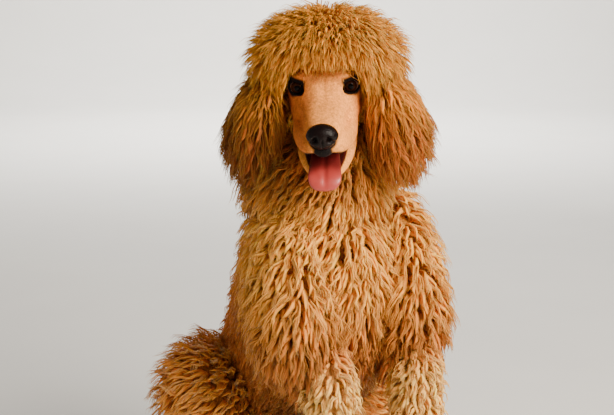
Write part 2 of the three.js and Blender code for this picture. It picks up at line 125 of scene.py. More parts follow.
SKULL_STATIONS = [
    (0, -100, -36, 19, 16, 0), (0, -80, -36, 24, 20, 0), (0, -54, -34, 28, 25, 0),
    (0, -30, -31, 31, 29, 0), (0, -8, -26, 37, 35, 0), (0, 16, -18, 47, 41, 0),
    (0, 46, -12, 54, 45, 0), (0, 76, -12, 52, 43, 0), (0, 98, -18, 40, 32, 0)]
LIP_STATIONS = [
    (9, -99, -47, 9, 11, 0), (18, -86, -49, 9, 13, 0), (25, -58, -52, 10, 15, 0),
    (30, -30, -52, 11, 16, 0), (33, -4, -48, 10, 17, 0), (37, 26, -42, 10, 17, 0)]
CHEEK_STATIONS = [(29, -24, -34, 9, 15, 0), (34, 10, -32, 11, 20, 0), (40, 46, -26, 12, 22, 0)]
PALATE_STATIONS = [(0, -88, -62, 14, 11, 0), (0, -50, -64, 19, 13, 0), (0, -8, -66, 27, 14, 0)]
JAW_STATIONS = [
    (0, -84, -60, 20, 9, 0), (0, -60, -61, 29, 11, 0), (0, -30, -62, 36, 13, 0),
    (0, 0, -61, 40, 15, 0), (0, 30, -56, 41, 17, 0), (0, 56, -46, 34, 15, 0)]
MOUTH_FLOOR_STATIONS = [(0, -85, -51, 15, 8, 0), (0, -50, -50, 24, 10, 0), (0, -10, -48, 30, 11, 0)]
FACE_RELIEF = (  # place on one side, width, depth and height of the bell, and how far it rises
    ((17, -22, -8), (9, 14, 9), -3.2),  # hollow under the eye's inner corner
    ((0, -22, 4), (5, 34, 12), -1.6),  # furrow between the eyes
    ((23, -70, -40), (8, 16, 9), 1.8),  # whisker pad
    ((30, -40, -30), (8, 24, 6), -2.2),  # hollow above the lips
    ((40, -10, -16), (10, 16, 7), 2.4))  # cheek bone
TONGUE_STATIONS = [
    (0, -6, -66, 17, 5, 0), (0, -44, -76, 18, 6, 0), (0, -74, -85, 20, 6, 0),
    (0, -93, -94, 21, 5.5, 0), (0, -101, -105, 19, 4.5, 0)]
PASTERN_STATIONS = [
    (0, 4, 86, 15, 16, 0), (0, 2, 50, 15, 17, 0), (0, -8, 20, 22, 24, 0), (0, -28, 2, 27, 19, 0)]
TOES = [(-19, -9, 40), (-6.5, -3, 50), (6.5, 3, 50), (19, 9, 40)]  # root, spread, reach


# Turning and placing

def turn_x(degrees):
    c, s = math.cos(math.radians(degrees)), math.sin(math.radians(degrees))
    return np.array([[1, 0, 0], [0, c, -s], [0, s, c]])


def turn_y(degrees):
    c, s = math.cos(math.radians(degrees)), math.sin(math.radians(degrees))
    return np.array([[c, 0, s], [0, 1, 0], [-s, 0, c]])


def turn_z(degrees):
    c, s = math.cos(math.radians(degrees)), math.sin(math.radians(degrees))
    return np.array([[c, -s, 0], [s, c, 0], [0, 0, 1]])


HEAD_AXES = turn_z(HEAD_TURN) @ turn_x(HEAD_DROP) @ turn_y(HEAD_ROLL)


def from_head(points):
    """The head's frame turned and moved into the dog's: axes times the point, plus the head's place."""
    return points @ HEAD_AXES.T + np.array(HEAD_AT)


def to_head(points):
    """The dog's frame back into the head's."""
    return (points - np.array(HEAD_AT)) @ HEAD_AXES


def drop_jaw(points, degrees=JAW_DROP):
    """Turns points of the lower jaw about its hinge by the angle that the mouth is open."""
    return (points - np.array(JAW_HINGE)) @ turn_x(degrees).T + np.array(JAW_HINGE)


def find_origin():
    """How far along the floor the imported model's origin lies from the dog's own, read from where the
    left eye is."""
    low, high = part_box("eye_left")
    origin = np.array((low + high) / 2) / MM - from_head(np.array(EYE_AT, float))
    origin[2] = 0
    return origin


ORIGIN = find_origin()


def packed(points):
    """Millimetres in the dog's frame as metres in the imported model's frame."""
    return (points + ORIGIN) * MM


def unpacked(points):
    """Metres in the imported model's frame as millimetres in the dog's frame."""
    return np.asarray(points) / MM - ORIGIN


def unit(vectors):
    """Each vector divided by its length."""
    return vectors / np.maximum(np.linalg.norm(vectors, axis=-1, keepdims=True), 1e-9)


def mirrored(stations, side, lean=0):
    """Stations of the left side on the given side, moved to the dog's left by their lean."""
    return [(x * side + lean, *others) for x, *others in stations]


# Surfaces

def along_stations(stations, t):
    """A smooth curve through the stations: on each span, the cubic that passes its two ends with the
    slopes of their neighbours, for t from 0 to 1 over the whole row."""
    rows = np.asarray(stations, float)
    ends = np.vstack([2 * rows[0] - rows[1], rows, 2 * rows[-1] - rows[-2]])
    place = np.clip(t, 0, 1) * (len(rows) - 1)
    span = np.minimum(place.astype(int), len(rows) - 2)
    u = (place - span)[..., None]
    a, b, c, d = ends[span], ends[span + 1], ends[span + 2], ends[span + 3]
    return 0.5 * (2 * b + (c - a) * u + (2 * a - 5 * b + 4 * c - d) * u**2
                  + (3 * b - a - 3 * c + d) * u**3)


def frames_along(stations, t):
    """Middle, direction, side, depth and sizes of a form at t. Depth is the dog's left times the
    direction, and side is direction times depth."""
    rows = along_stations(stations, t)
    step = 1e-3
    ahead = along_stations(stations, np.minimum(t + step, 1))[..., :3]
    behind = along_stations(stations, np.maximum(t - step, 0))[..., :3]
    along = unit(ahead - behind)
    depth = unit(np.cross((1.0, 0.0, 0.0), along))
    side = unit(np.cross(along, depth))
    return rows[..., :3], along, side, depth, rows[..., 3:]


def form_grid(stations, rings=36, around=40, dome=3.0, box=1.0):
    """A rounded form along its stations. At height h from -1 to 1 and angle a, the point is the middle
    plus side times (half width) r C plus depth times (half depth) r S, where C and S are the cosine and
    sine of a raised to the power box with their signs kept, and r is the root of order dome of
    1 - |h| to the power dome. The heights are minus the cosine of even steps."""
    h = -np.cos(np.linspace(0, math.pi, rings))
    angle = np.linspace(0, TAU, around, endpoint=False)
    middle, _, side, depth, sizes = frames_along(stations, (h + 1) / 2)
    r = np.clip(1 - np.abs(h) ** dome, 0, 1) ** (1 / dome)
    wide = (sizes[:, 0] * r)[:, None, None] * side[:, None]
    deep = (sizes[:, 1] * r)[:, None, None] * depth[:, None]
    c, d = (np.sign(part) * np.abs(part) ** box for part in (np.cos(angle), np.sin(angle)))
    return middle[:, None] + wide * c[None, :, None] + deep * d[None, :, None]


def ball_grid(at, half, turn=None, rings=28, around=36):
    """An ellipsoid: half sizes times the unit ball's point at angles u and v, turned, plus its place."""
    u = np.linspace(0, math.pi, rings)[:, None]
    v = np.linspace(0, TAU, around, endpoint=False)[None, :]
    unit_ball = np.stack([np.sin(u) * np.cos(v), -np.cos(u) + 0 * v, np.sin(u) * np.sin(v)], -1)
    points = unit_ball * np.asarray(half, float)
    if turn is not None:
        points = points @ turn.T
    return points + np.asarray(at, float)


def quads_between(rows):
    """Faces with four corners between each row of vertices and the next, where each row is a ring."""
    turned = np.roll(rows, -1, 1)
    return np.stack([rows[:-1], turned[:-1], turned[1:], rows[1:]], -1).reshape(-1, 4)


def closed_faces(rings, around):
    """Faces of a closed grid whose first and last rings are each drawn together in one point."""
    body = np.arange((rings - 2) * around).reshape(rings - 2, around) + 1
    last = (rings - 2) * around + 1
    tips = np.concatenate([
        np.stack([np.zeros(around, int), np.roll(body[0], -1), body[0]], -1),
        np.stack([np.full(around, last), body[-1], np.roll(body[-1], -1)], -1)])
    return quads_between(body), tips


def closed_surface(grid):
    """Points and faces of a closed grid, with the faces turned outwards by the sign of its volume."""
    rings, around = grid.shape[:2]
    points = np.vstack([grid[0].mean(0)[None], grid[1:-1].reshape(-1, 3), grid[-1].mean(0)[None]])
    quads, tips = closed_faces(rings, around)
    corners = points[quads]
    cut = np.cross(corners[:, 1] - corners[:, 0], corners[:, 3] - corners[:, 0])
    if (cut * (corners.mean(1) - points.mean(0))).sum() < 0:
        quads, tips = quads[:, ::-1], tips[:, ::-1]
    return points, quads, tips


def merged(surfaces):
    """Several closed surfaces as one list of points and faces."""
    points, quads, tips, start = [], [], [], 0
    for part_points, part_quads, part_tips in surfaces:
        points.append(part_points)
        quads.append(part_quads + start)
        tips.append(part_tips + start)
        start += len(part_points)
    return np.vstack(points), np.vstack(quads), np.vstack(tips)


# Meshes and objects

def new_object(name, points, *faces):
    """A smooth mesh object from points in metres and arrays of faces with three or four corners."""
    faces = [face for face in faces if len(face)]
    corners = np.concatenate([face.ravel() for face in faces])
    counts = np.concatenate([np.full(len(face), face.shape[1]) for face in faces])
    starts = np.concatenate([[0], np.cumsum(counts)[:-1]])
    mesh = bpy.data.meshes.new(name)
    mesh.vertices.add(len(points))
    mesh.vertices.foreach_set("co", np.ascontiguousarray(points, np.float32).ravel())
    mesh.loops.add(len(corners))
    mesh.loops.foreach_set("vertex_index", corners.astype(np.int32))
    mesh.polygons.add(len(starts))
    mesh.polygons.foreach_set("loop_start", starts.astype(np.int32))
    mesh.polygons.foreach_set("use_smooth", np.ones(len(starts), bool))
    mesh.update(calc_edges=True)
    piece = bpy.data.objects.new(name, mesh)
    bpy.context.scene.collection.objects.link(piece)
    return piece


def surface_object(name, grids):
    """One mesh object of several closed grids in the dog's frame."""
    points, quads, tips = merged([closed_surface(grid) for grid in grids])
    return new_object(name, packed(points), quads, tips)


def with_modifier_applied(piece, kind, **settings):
    """Adds one modifier to a piece and makes its result the piece's mesh."""
    modifier = piece.modifiers.new(kind.title(), kind)
    for name, value in settings.items():
        setattr(modifier, name, value)
    graph = bpy.context.evaluated_depsgraph_get()
    result = bpy.data.meshes.new_from_object(piece.evaluated_get(graph))
    piece.modifiers.clear()
    old = piece.data
    piece.data = result
    bpy.data.meshes.remove(old)
    return piece


def cut_or_join(piece, tool, operation):
    """Cuts the tool from a piece or joins it to the piece, and removes the tool."""
    with_modifier_applied(piece, "BOOLEAN", operation=operation, object=tool, solver="MANIFOLD")
    bpy.data.objects.remove(tool)
    return piece


def carve(piece, grid):
    """Takes a closed form of the head's frame out of a piece."""
    return cut_or_join(piece, surface_object("cut", [from_head(grid)]), "DIFFERENCE")


def remeshed(piece, voxel, smoothing):
    """One closed skin over all that the piece holds, on a grid of voxels, with its steps smoothed."""
    with_modifier_applied(piece, "REMESH", mode="VOXEL", voxel_size=voxel, use_smooth_shade=True)
    return with_modifier_applied(piece, "SMOOTH", factor=0.5, iterations=smoothing)


def mesh_arrays(mesh):
    """Places and normals of a mesh's vertices, and its triangles."""
    places, normals = np.empty((2, len(mesh.vertices) * 3), np.float32)
    mesh.vertices.foreach_get("co", places)
    mesh.vertices.foreach_get("normal", normals)
    mesh.calc_loop_triangles()
    triangles = np.empty(len(mesh.loop_triangles) * 3, np.int32)
    mesh.loop_triangles.foreach_get("vertices", triangles)
    places, normals = (values.reshape(-1, 3).astype(float) for values in (places, normals))
    return places, normals, triangles.reshape(-1, 3)


def move_vertices(mesh, places):
    mesh.vertices.foreach_set("co", places.astype(np.float32).ravel())
    mesh.update()


def write_attribute(mesh, name, values):
    """Keeps one number or one colour for each vertex of a mesh, under a name that materials read."""
    kind, key = ("FLOAT", "value") if values.ndim == 1 else ("FLOAT_COLOR", "color")
    if kind == "FLOAT_COLOR":
        values = np.column_stack([values, np.ones(len(values))])
    attribute = mesh.attributes.new(name, kind, "POINT")
    attribute.data.foreach_set(key, np.ascontiguousarray(values, np.float32).ravel())


def write_unwrap(mesh, name, places, corners):
    """Adds an unwrap from each vertex's place on it, given for the corners of the faces in order."""
    layer = mesh.uv_layers.new(name=name)
    layer.data.foreach_set("uv", np.ascontiguousarray(places[corners], np.float32).ravel())


# The forms of the flesh

def paw_pose(name, side):
    """Where a paw stands and which way it points: a turn about the upright, then a move."""
    if name == "forepaw":
        x, y = LIMB_STATIONS["forearm"][-1][:2]
        return turn_z(4 * side), np.array([x * side + LEAN["forearm"], y - 6, 0.0])
    x, y = LIMB_STATIONS["metatarsus"][-1][:2]
    return turn_z(12 * side), np.array([x * side, y - 2, 0.0])


def body_forms():
    """Every form of the body's flesh with its name and stations, in the dog's frame."""
    forms = dict(BODY_STATIONS)
    for side_name, side in SIDES.items():
        for name, stations in LIMB_STATIONS.items():
            forms[name + "_" + side_name] = mirrored(stations, side, LEAN.get(name, 0))
    return forms


def head_forms():
    """The forms of the head that carry coat or fur, with their stations, in the head's frame."""
    jaw = np.array(JAW_STATIONS, float)
    jaw[:, :3] = drop_jaw(jaw[:, :3])
    forms = {"topknot": CROWN_STATIONS, "skull": SKULL_STATIONS, "nape": NAPE_STATIONS, "jaw": jaw}
    for side_name, side in SIDES.items():
        forms["ear_" + side_name] = mirrored(EAR_STATIONS, side)
    return forms


def toe_stations(root, spread, reach):
    """Stations of one toe, from its root across the foot to its end."""
    return [(root, -16, 17, 8.5, 10, 0), (root + spread * 0.7, -reach * 0.7, 10, 9, 13, 0),
            (root + spread, -reach, 5, 8, 9, 0)]


def claw_stations(root, spread, reach):
    """Stations of one claw, from inside its toe's end to its point."""
    return [
        (root + spread, -reach - 2, 11, 3, 4.2, 0), (root + spread * 1.1, -reach - 11, 10, 2.6, 3.4, 0),
        (root + spread * 1.2, -reach - 17, 6.5, 1.6, 2.2, 0),
        (root + spread * 1.25, -reach - 20, 2.5, 0.6, 0.8, 0)]


def paw_surfaces():
    """The four bare feet: each a pastern that widens to the floor, and four toes."""
    surfaces = []
    for name in ("forepaw", "hindpaw"):
        for side in SIDES.values():
            axes, at = paw_pose(name, side)
            forms = [form_grid(PASTERN_STATIONS)]
            forms += [form_grid(toe_stations(*toe), rings=24, around=24, dome=2.6) for toe in TOES]
            surfaces += [grid @ axes.T + at for grid in forms]
    return surfaces


def eye_centre(side):
    return np.array([EYE_AT[0] * side, EYE_AT[1], EYE_AT[2]], float)


def lid_opening(side):
    """The almond between the lids: a long ellipsoid that looks forwards and a little outwards."""
    at = (EYE_AT[0] * side * 1.1, EYE_AT[1] - 18, EYE_AT[2])
    return ball_grid(at, EYE_OPENING, turn_y(-LID_TILT * side) @ turn_z(18 * side))


def head_surfaces():
    """Skull, muzzle's end, upper lips, cheeks, lids and brows, in the head's frame."""
    surfaces = [form_grid(SKULL_STATIONS, rings=60, around=56, box=0.78), ball_grid(*MUZZLE_END)]
    for side in SIDES.values():
        surfaces.append(form_grid(mirrored(LIP_STATIONS, side)))
        surfaces.append(form_grid(mirrored(CHEEK_STATIONS, side)))
        surfaces.append(ball_grid(eye_centre(side), [EYE_RADIUS + LID_THICKNESS] * 3))
        surfaces.append(ball_grid((BROW_AT[0] * side, *BROW_AT[1:]), BROW_SIZE))
    return surfaces


def add_relief(piece):
    """Hollows and swellings of the face: each point moves along its normal by the sum over the bells of
    their rise times e to minus the squared distance from the bell's place, in the bell's own sizes."""
    places, normals, _ = mesh_arrays(piece.data)
    points = unpacked(places)
    head = to_head(points)
    head[:, 0] = np.abs(head[:, 0])
    rise = sum(height * np.exp(-(((head - np.array(at)) / np.array(size)) ** 2).sum(1))
               for at, size, height in FACE_RELIEF)
    move_vertices(piece.data, packed(points + normals * rise[:, None]))


def closed_skin(sizes):
    """One closed skin: the head, the feet and the body are each remeshed at their own fineness, and
    joined."""
    head = surface_object("skin_head", [from_head(grid) for grid in head_surfaces()])
    add_relief(remeshed(head, sizes.head_voxel, 3))
    carve(head, form_grid(PALATE_STATIONS))
    jaw_grid = drop_jaw(form_grid(JAW_STATIONS, rings=48, around=48))
    jaw = surface_object("skin_jaw", [from_head(jaw_grid)])
    carve(jaw, drop_jaw(form_grid(MOUTH_FLOOR_STATIONS)))
    cut_or_join(head, jaw, "UNION")
    for side in SIDES.values():
        carve(head, ball_grid(eye_centre(side), [EYE_RADIUS + EYE_ROOM] * 3))
        carve(head, lid_opening(side))
    remeshed(head, sizes.head_voxel, 2)
    coated = [form_grid(stations) for stations in body_forms().values()]
    coated += [from_head(form_grid(CROWN_STATIONS, dome=2.0))]
    coated += [from_head(form_grid(mirrored(EAR_STATIONS, side))) for side in SIDES.values()]
    body = remeshed(surface_object("skin", coated), sizes.body_voxel, 4)
    feet = remeshed(surface_object("skin_feet", paw_surfaces()), sizes.foot_voxel, 2)
    cut_or_join(body, head, "UNION")
    return cut_or_join(body, feet, "UNION")


# Where a point lies on the forms, and what grows there

FORM_SAMPLES = np.linspace(0, 1, 25)
CELLS_ACROSS = 5  # the unwrap has this many cells in each row
CELL_MARGIN = 0.06

# Where the dog's colours and their painted shade and light change, in millimetres of its own frame: each
# grows from the first to the last
CHEST_FORWARD, CHEST_UP = (100, -140), (310, 480)
HAUNCH_FORWARD = (150, 50)
BELLY_DOWN, BELLY_FORWARD = (310, 230), (60, 0)
LEG_DOWN = (360, 300)
FLANK_OUT, FLANK_BACK, FLANK_DOWN = (50, 90), (-70, 0), (470, 380)
SHADED_DOWN, SHADED_FORWARD = (440, 340), (60, -60)
# The same in the head's frame
NECK_UP, NECK_BACK = (-190, -90), (20, 90)
CHIN_IN, CHIN_FORWARD = (80, 50), (60, 20)
EAR_UP = (-60, 0)
BROW_DOWN, BROW_IN, BROW_BACK = (42, 24), (34, 24), 40
BLAZE_RIGHT, BLAZE_LEFT, BLAZE_FORWARD = (-26, -6), (46, 34), (56, 30)
JAW_DOWN, JAW_FORWARD = (-60, -70), (10, -20)
TEMPLE_OUT, TEMPLE_BACK = (38, 45), (0, 14)


def coat_forms():
    """All forms that carry coat or clipped fur: the stations of each, and whether they are in the
    head's frame."""
    forms = {name: (stations, False) for name, stations in body_forms().items()}
    forms.update({name: (stations, True) for name, stations in head_forms().items()})
    return forms


def out_from_middle(points, stations, end_share, end_room):
    """How far points lie out from each of a form's sampled middles: sideways and in depth in the form's
    half sizes there, and in all, where the way along counts in end_share half widths plus end_room."""
    middle, along, side, depth, sizes = frames_along(stations, FORM_SAMPLES)
    offset = points[:, None, :] - middle[None]
    u = np.einsum("nkc,kc->nk", offset, side) / sizes[:, 0]
    v = np.einsum("nkc,kc->nk", offset, depth) / sizes[:, 1]
    w = np.einsum("nkc,kc->nk", offset, along) / (end_share * sizes[:, 0] + end_room)
    return u, v, np.sqrt(u**2 + v**2 + w**2), sizes


def nearest_form(points):
    """For each point: which form it lies on, how far along it, at which angle round it, and the coat's
    length there. The distance is measured in the form's own half sizes, and the smallest wins."""
    forms = coat_forms()
    best = np.full(len(points), np.inf)
    index = np.zeros(len(points), int)
    place, angle, length = np.zeros((3, len(points)))
    in_head_frame = to_head(points)
    rows = np.arange(len(points))
    for k, (stations, in_head) in enumerate(forms.values()):
        u, v, distance, sizes = out_from_middle(in_head_frame if in_head else points, stations, 0.5, 10)
        at = distance.argmin(1)
        nearer = distance[rows, at] < best
        best = np.where(nearer, distance[rows, at], best)
        index = np.where(nearer, k, index)
        place = np.where(nearer, FORM_SAMPLES[at], place)
        angle = np.where(nearer, np.arctan2(v[rows, at], u[rows, at]), angle)
        length = np.where(nearer, sizes[at, 2], length)
    return np.array(list(forms))[index], index, place, angle, length


def inside_form(points, stations):
    """How far a point of the head's frame lies out from a form's middle line, 1 being its surface."""
    return out_from_middle(points, stations, 0.4, 4)[2].min(1)


def unwrapped(index, place, angle):
    """Each form has its own cell of the unwrap, with the angle round it across and its length up."""
    column, row = index % CELLS_ACROSS, index // CELLS_ACROSS
    used = 1 - 2 * CELL_MARGIN
    return np.stack([(column + CELL_MARGIN + used * (angle / TAU + 0.5)) / CELLS_ACROSS,
                     (row + CELL_MARGIN + used * place) / CELLS_ACROSS], -1)


def smooth_step(low, high, value):
    """0 below low, 1 above high, and a smooth rise between them, or the other way round."""
    t = np.clip((value - low) / (high - low), 0, 1)
    return t * t * (3 - 2 * t)


def mixed(a, b, share):
    return a + (b - a) * np.asarray(share)[..., None]


def on_forms(names, *starts):
    """Whether each point's form has a name that starts with one of these."""
    return np.any([np.char.startswith(names, start) for start in starts], axis=0)


def markings_with_painted_shade(points, names, colours, under_coat_shade=1.0):
    """The dog's colours at points of the dog's frame, for the skin and the coat alike, with painted shade and
    painted light mixed in where marked below. Skin that the coat hides is darker by its painted shade under
    the coat."""
    x, y, z = points.T
    head = to_head(points)
    across, back, up = np.abs(head[:, 0]), head[:, 1], head[:, 2]
    kinds = ("coat", "chest", "leg", "crown", "ear", "blaze", "cheek")
    coat, chest, leg, crown, deep, blaze, cheek = (np.array(getattr(colours, kind)) for kind in kinds)
    torso, topknot = on_forms(names, "torso"), on_forms(names, "topknot")
    # The pale chest fades into the coat's colour lower down: partly its own colour, partly painted shade on
    # the lower chest.
    front = smooth_step(*CHEST_FORWARD, y) * smooth_step(*CHEST_UP, z)
    colour = mixed(coat, chest, front)
    # The front of the haunch is paler, towards the chest's colour: partly its own colour, partly painted
    # light where the haunch is lit.
    haunch = on_forms(names, "thigh", "shank")
    colour = mixed(colour, chest, 0.55 * haunch * smooth_step(*HAUNCH_FORWARD, y))
    # painted shade: the underside of the torso between the forelegs is darker, low and in front
    belly_shade = smooth_step(*BELLY_DOWN, z) * smooth_step(*BELLY_FORWARD, y) * torso
    colour = colour * (1 - 0.6 * belly_shade)[:, None]
    colour = mixed(colour, leg, on_forms(names, "forearm") * smooth_step(*LEG_DOWN, z))
    # painted shade: the outer sides of the torso behind the chest take the ears' deeper colour, most of all
    # low down
    flank_shade = smooth_step(*FLANK_OUT, np.abs(x)) * smooth_step(*FLANK_BACK, y) * torso
    colour = mixed(colour, deep, 0.6 * flank_shade * smooth_step(*FLANK_DOWN, z))
    # The neck next to the head takes the ears' colour in front and the topknot's behind: partly the hair's
    # own colour, partly painted shade under the head.
    near_head = smooth_step(*NECK_UP, up) * on_forms(names, "neck")
    colour = mixed(colour, mixed(deep, crown, smooth_step(*NECK_BACK, back)), 0.8 * near_head)
    # painted shade: the throat just below the front of the head is darker
    chin_shade = near_head * smooth_step(*CHIN_IN, across) * smooth_step(*CHIN_FORWARD, back)
    colour = colour * (1 - 0.3 * chin_shade)[:, None]
    colour[topknot] = crown
    ear = on_forms(names, "ear")
    colour[ear] = mixed(deep, crown, 0.7 * smooth_step(*EAR_UP, up))[ear]
    # painted shade: the right ear, on the side away from the key light, has 0.55 of the other ear's
    # brightness
    colour[on_forms(names, "ear_right")] *= 0.55
    # painted shade: the lower front of the shoulders and torso is darker, and skin that the coat hides is
    # darker by its painted shade
    low = smooth_step(*SHADED_DOWN, z) * smooth_step(*SHADED_FORWARD, y)
    colour = colour * (1 - 0.42 * low * on_forms(names, "shoulder", "torso"))[:, None] * under_coat_shade
    brow = smooth_step(*BROW_DOWN, up) * smooth_step(*BROW_IN, across) * (back < BROW_BACK)
    colour = mixed(colour, blaze, brow * topknot)
    # The pale blaze reaches less far towards the dog's right, the side away from the key light: partly its
    # own marking, partly painted shade.
    pale = (smooth_step(*BLAZE_RIGHT, head[:, 0]) * smooth_step(*BLAZE_LEFT, head[:, 0])
            * smooth_step(*BLAZE_FORWARD, back))
    pale = np.maximum(pale, smooth_step(*JAW_DOWN, up) * smooth_step(*JAW_FORWARD, back))
    face = mixed(cheek, blaze, pale)
    # The temples take the ears' deeper colour: partly the hair's own colour, partly painted shade at the
    # sides of the face.
    face = mixed(face, deep, smooth_step(*TEMPLE_OUT, across) * smooth_step(*TEMPLE_BACK, back))
    return np.where(on_forms(names, "skull", "jaw")[:, None], face, colour)


# Scattering

DRAWS_PER_CELL = 7
CELL_KEYS = (92821, 68917)  # large odd numbers that give each cell of the lattice its own key


def scattered(places, normals, triangles, spacing, draw, allowed):
    """Points spread evenly over triangles: many are drawn by area, and in each cell of a lattice whose
    cells are spacing wide the one nearest to the middle is kept. allowed tells which may stay."""
    corner = places[triangles]
    cross = np.cross(corner[:, 1] - corner[:, 0], corner[:, 2] - corner[:, 0])
    area = np.linalg.norm(cross, axis=1) / 2
    many = int(area.sum() / spacing**2 * DRAWS_PER_CELL)
    chosen = draw.choice(len(triangles), many, p=area / area.sum())
    a, b = draw.random(many), draw.random(many)
    over = a + b > 1
    a[over], b[over] = 1 - a[over], 1 - b[over]
    weight = np.stack([1 - a - b, a, b], -1)[..., None]
    at = (places[triangles[chosen]] * weight).sum(1)
    out = unit((normals[triangles[chosen]] * weight).sum(1))
    keep = allowed(at)
    at, out = at[keep], out[keep]
    place = at / spacing + draw.random(3)
    cell = np.floor(place).astype(np.int64)
    key = (cell[:, 0] * CELL_KEYS[0] + cell[:, 1]) * CELL_KEYS[1] + cell[:, 2]
    order = np.argsort(np.linalg.norm(place - cell - 0.5, axis=1), kind="stable")
    _, first = np.unique(key[order], return_index=True)
    kept = np.sort(order[first])
    return at[kept], out[kept]


# Locks and strands

ROOT_DEPTH = 4.0  # how far below the skin a lock starts
SIDES_OF_TUBE = 3
FLATNESS = 0.5  # depth of a tube as a share of its width
TUBE_PATCH = 0.003  # how much of the unwrap one tube covers
COAT_ABOVE_FLOOR = 0.4
REGION_ROOM = 150


def lock_paths(root, out, flow, fall, length, draw, stand, layer):
    """Middle lines of wavy locks. The direction at s from 0 to 1 is the outward way times each lock's
    stand and the 1.3th power of 1 - s, plus the way it lies times (0.2 + droop s), made a unit, where
    the way it lies turns from the flow along the skin half way to the free fall; the line is its running
    sum times the length. To it comes a wave: sideways the swing times the sine, outwards 0.6 times the
    cosine, growing with the root of s."""
    samples = layer["samples"]
    s = np.linspace(0, 1, samples)
    count = len(root)
    outward = stand[:, None, None] * ((1 - s) ** 1.3)[None, :, None] * out[:, None]
    lies = flow[:, None] * (1 - 0.5 * s)[None, :, None] + fall[:, None] * (0.5 * s)[None, :, None]
    heading = unit(outward + (0.2 + layer["droop"] * s)[None, :, None] * lies)
    steps = heading * (length / (samples - 1))[:, None, None]
    line = np.cumsum(steps, 1) - steps
    side = unit(np.cross(flow, out))
    turns = layer["waves"] * (1 + 0.25 * draw.standard_normal(count))
    phase = TAU * (turns[:, None] * s[None] + draw.random(count)[:, None])
    swing = layer["swing"] * (0.7 + 0.6 * draw.random(count))
    rise = swing[:, None] * np.sqrt(s)[None] * (1 - 0.25 * s)[None]
    sideways = (rise * np.sin(phase))[..., None] * side[:, None]
    outwards = (0.6 * rise * np.cos(phase))[..., None] * out[:, None]
    return root[:, None] - ROOT_DEPTH * out[:, None] + line + sideways + outwards


def strand_paths(lines, out, draw, layer):
    """Several strands about each lock's middle line: each starts spread away from it and gathers
    towards it at the tip, with a small wave of its own, and ends at 0.75 to 1.05 of its length."""
    count, samples = lines.shape[:2]
    shape = (count, layer["strands"])
    s = np.linspace(0, 1, samples)
    ahead = np.gradient(lines, axis=1)
    side = unit(np.cross(ahead, out[:, None]))
    up = unit(np.cross(side, ahead))
    angle = TAU * draw.random(shape)
    reach = layer["spread"] * np.sqrt(draw.random(shape))
    share = (1 - layer["gather"] * s**0.8)[None, None]
    wobble = 0.6 * np.sin(TAU * (draw.random(shape)[..., None] + 1.7 * s[None, None]))
    across = (reach * np.cos(angle))[..., None] * share + wobble * s
    above = (0.6 * reach * np.sin(angle))[..., None] * share
    paths = lines[:, None] + across[..., None] * side[:, None] + above[..., None] * up[:, None]
    shorter = 0.75 + 0.3 * draw.random(shape)
    start = paths[:, :, :1]
    paths = start + (paths - start) * shorter[..., None, None]
    return paths.reshape(-1, samples, 3), np.repeat(np.arange(count), layer["strands"])


def tubes(paths, out, radius, twist):
    """Flat tapered tubes along paths. The ring at s has half the width radius times the 0.7th power of
    1 - s^1.6, 0.6 of that at the root, and turns by twist times s on the way. The last sample is the
    tip, a point."""
    samples = paths.shape[1]
    s = np.linspace(0, 1, samples)[:-1]
    ahead = np.gradient(paths, axis=1)[:, :-1]
    wide = unit(np.cross(ahead, out[:, None]))
    deep = unit(np.cross(ahead, wide))
    angle = np.linspace(0, TAU, SIDES_OF_TUBE, endpoint=False)
    tapered = (1 - s**1.6) ** 0.7 * (0.6 + 0.4 * smooth_step(0, 0.25, s))
    size = np.asarray(radius, float)[:, None] * tapered[None]
    turn = angle[None, None] + twist * s[None, :, None]
    along_wide = (size[..., None] * np.cos(turn))[..., None] * wide[:, :, None]
    along_deep = (FLATNESS * size[..., None] * np.sin(turn))[..., None] * deep[:, :, None]
    return paths[:, :-1, None] + along_wide + along_deep, paths[:, -1]


def tube_faces(count, rings):
    """Faces of many tubes with the same rings: quads between rings, a fan at the tip, a cap below."""
    sides = SIDES_OF_TUBE
    per = rings * sides + 1
    body = np.arange(rings * sides).reshape(rings, sides)
    tip = np.stack([body[-1], np.roll(body[-1], -1), np.full(sides, per - 1)], -1)
    cap = [np.zeros(sides - 2, int), np.arange(sides - 1, 1, -1), np.arange(sides - 2, 0, -1)]
    tips = np.concatenate([tip, np.stack(cap, -1)])
    start = (np.arange(count) * per)[:, None, None]
    return (quads_between(body)[None] + start).reshape(-1, 4), (tips[None] + start).reshape(-1, 3), per


class Tuft:
    """Tubes of one kind, ready to be put into a coat piece: points, faces, and per point the colour,
    the place on the unwrap, and across and along the strand."""

    def __init__(self, paths, out, radius, colour, unwrap, draw, vary, twist=0.0):
        rings, tips = tubes(paths, out, radius, twist)
        count, rows = rings.shape[:2]
        self.quads, self.tips, per = tube_faces(count, rows)
        self.points = np.concatenate([rings.reshape(count, -1, 3), tips[:, None]], 1).reshape(-1, 3)
        bright = 1 + vary * draw.standard_normal(count)
        self.colour = np.repeat(colour * bright[:, None], per, axis=0)
        along = np.append(np.repeat(np.arange(rows) / rows, SIDES_OF_TUBE), 1.0)
        around = np.append(np.tile(np.arange(SIDES_OF_TUBE) / SIDES_OF_TUBE, rows), 0.5)
        up = np.repeat(draw.random(count), per) * 7 + np.tile(along, count)
        self.strand = np.stack([np.tile(around, count), up], -1)
        patch = TUBE_PATCH * (np.stack([around, along], -1) - 0.5)
        self.unwrap = (unwrap[:, None] + patch[None]).reshape(-1, 2)


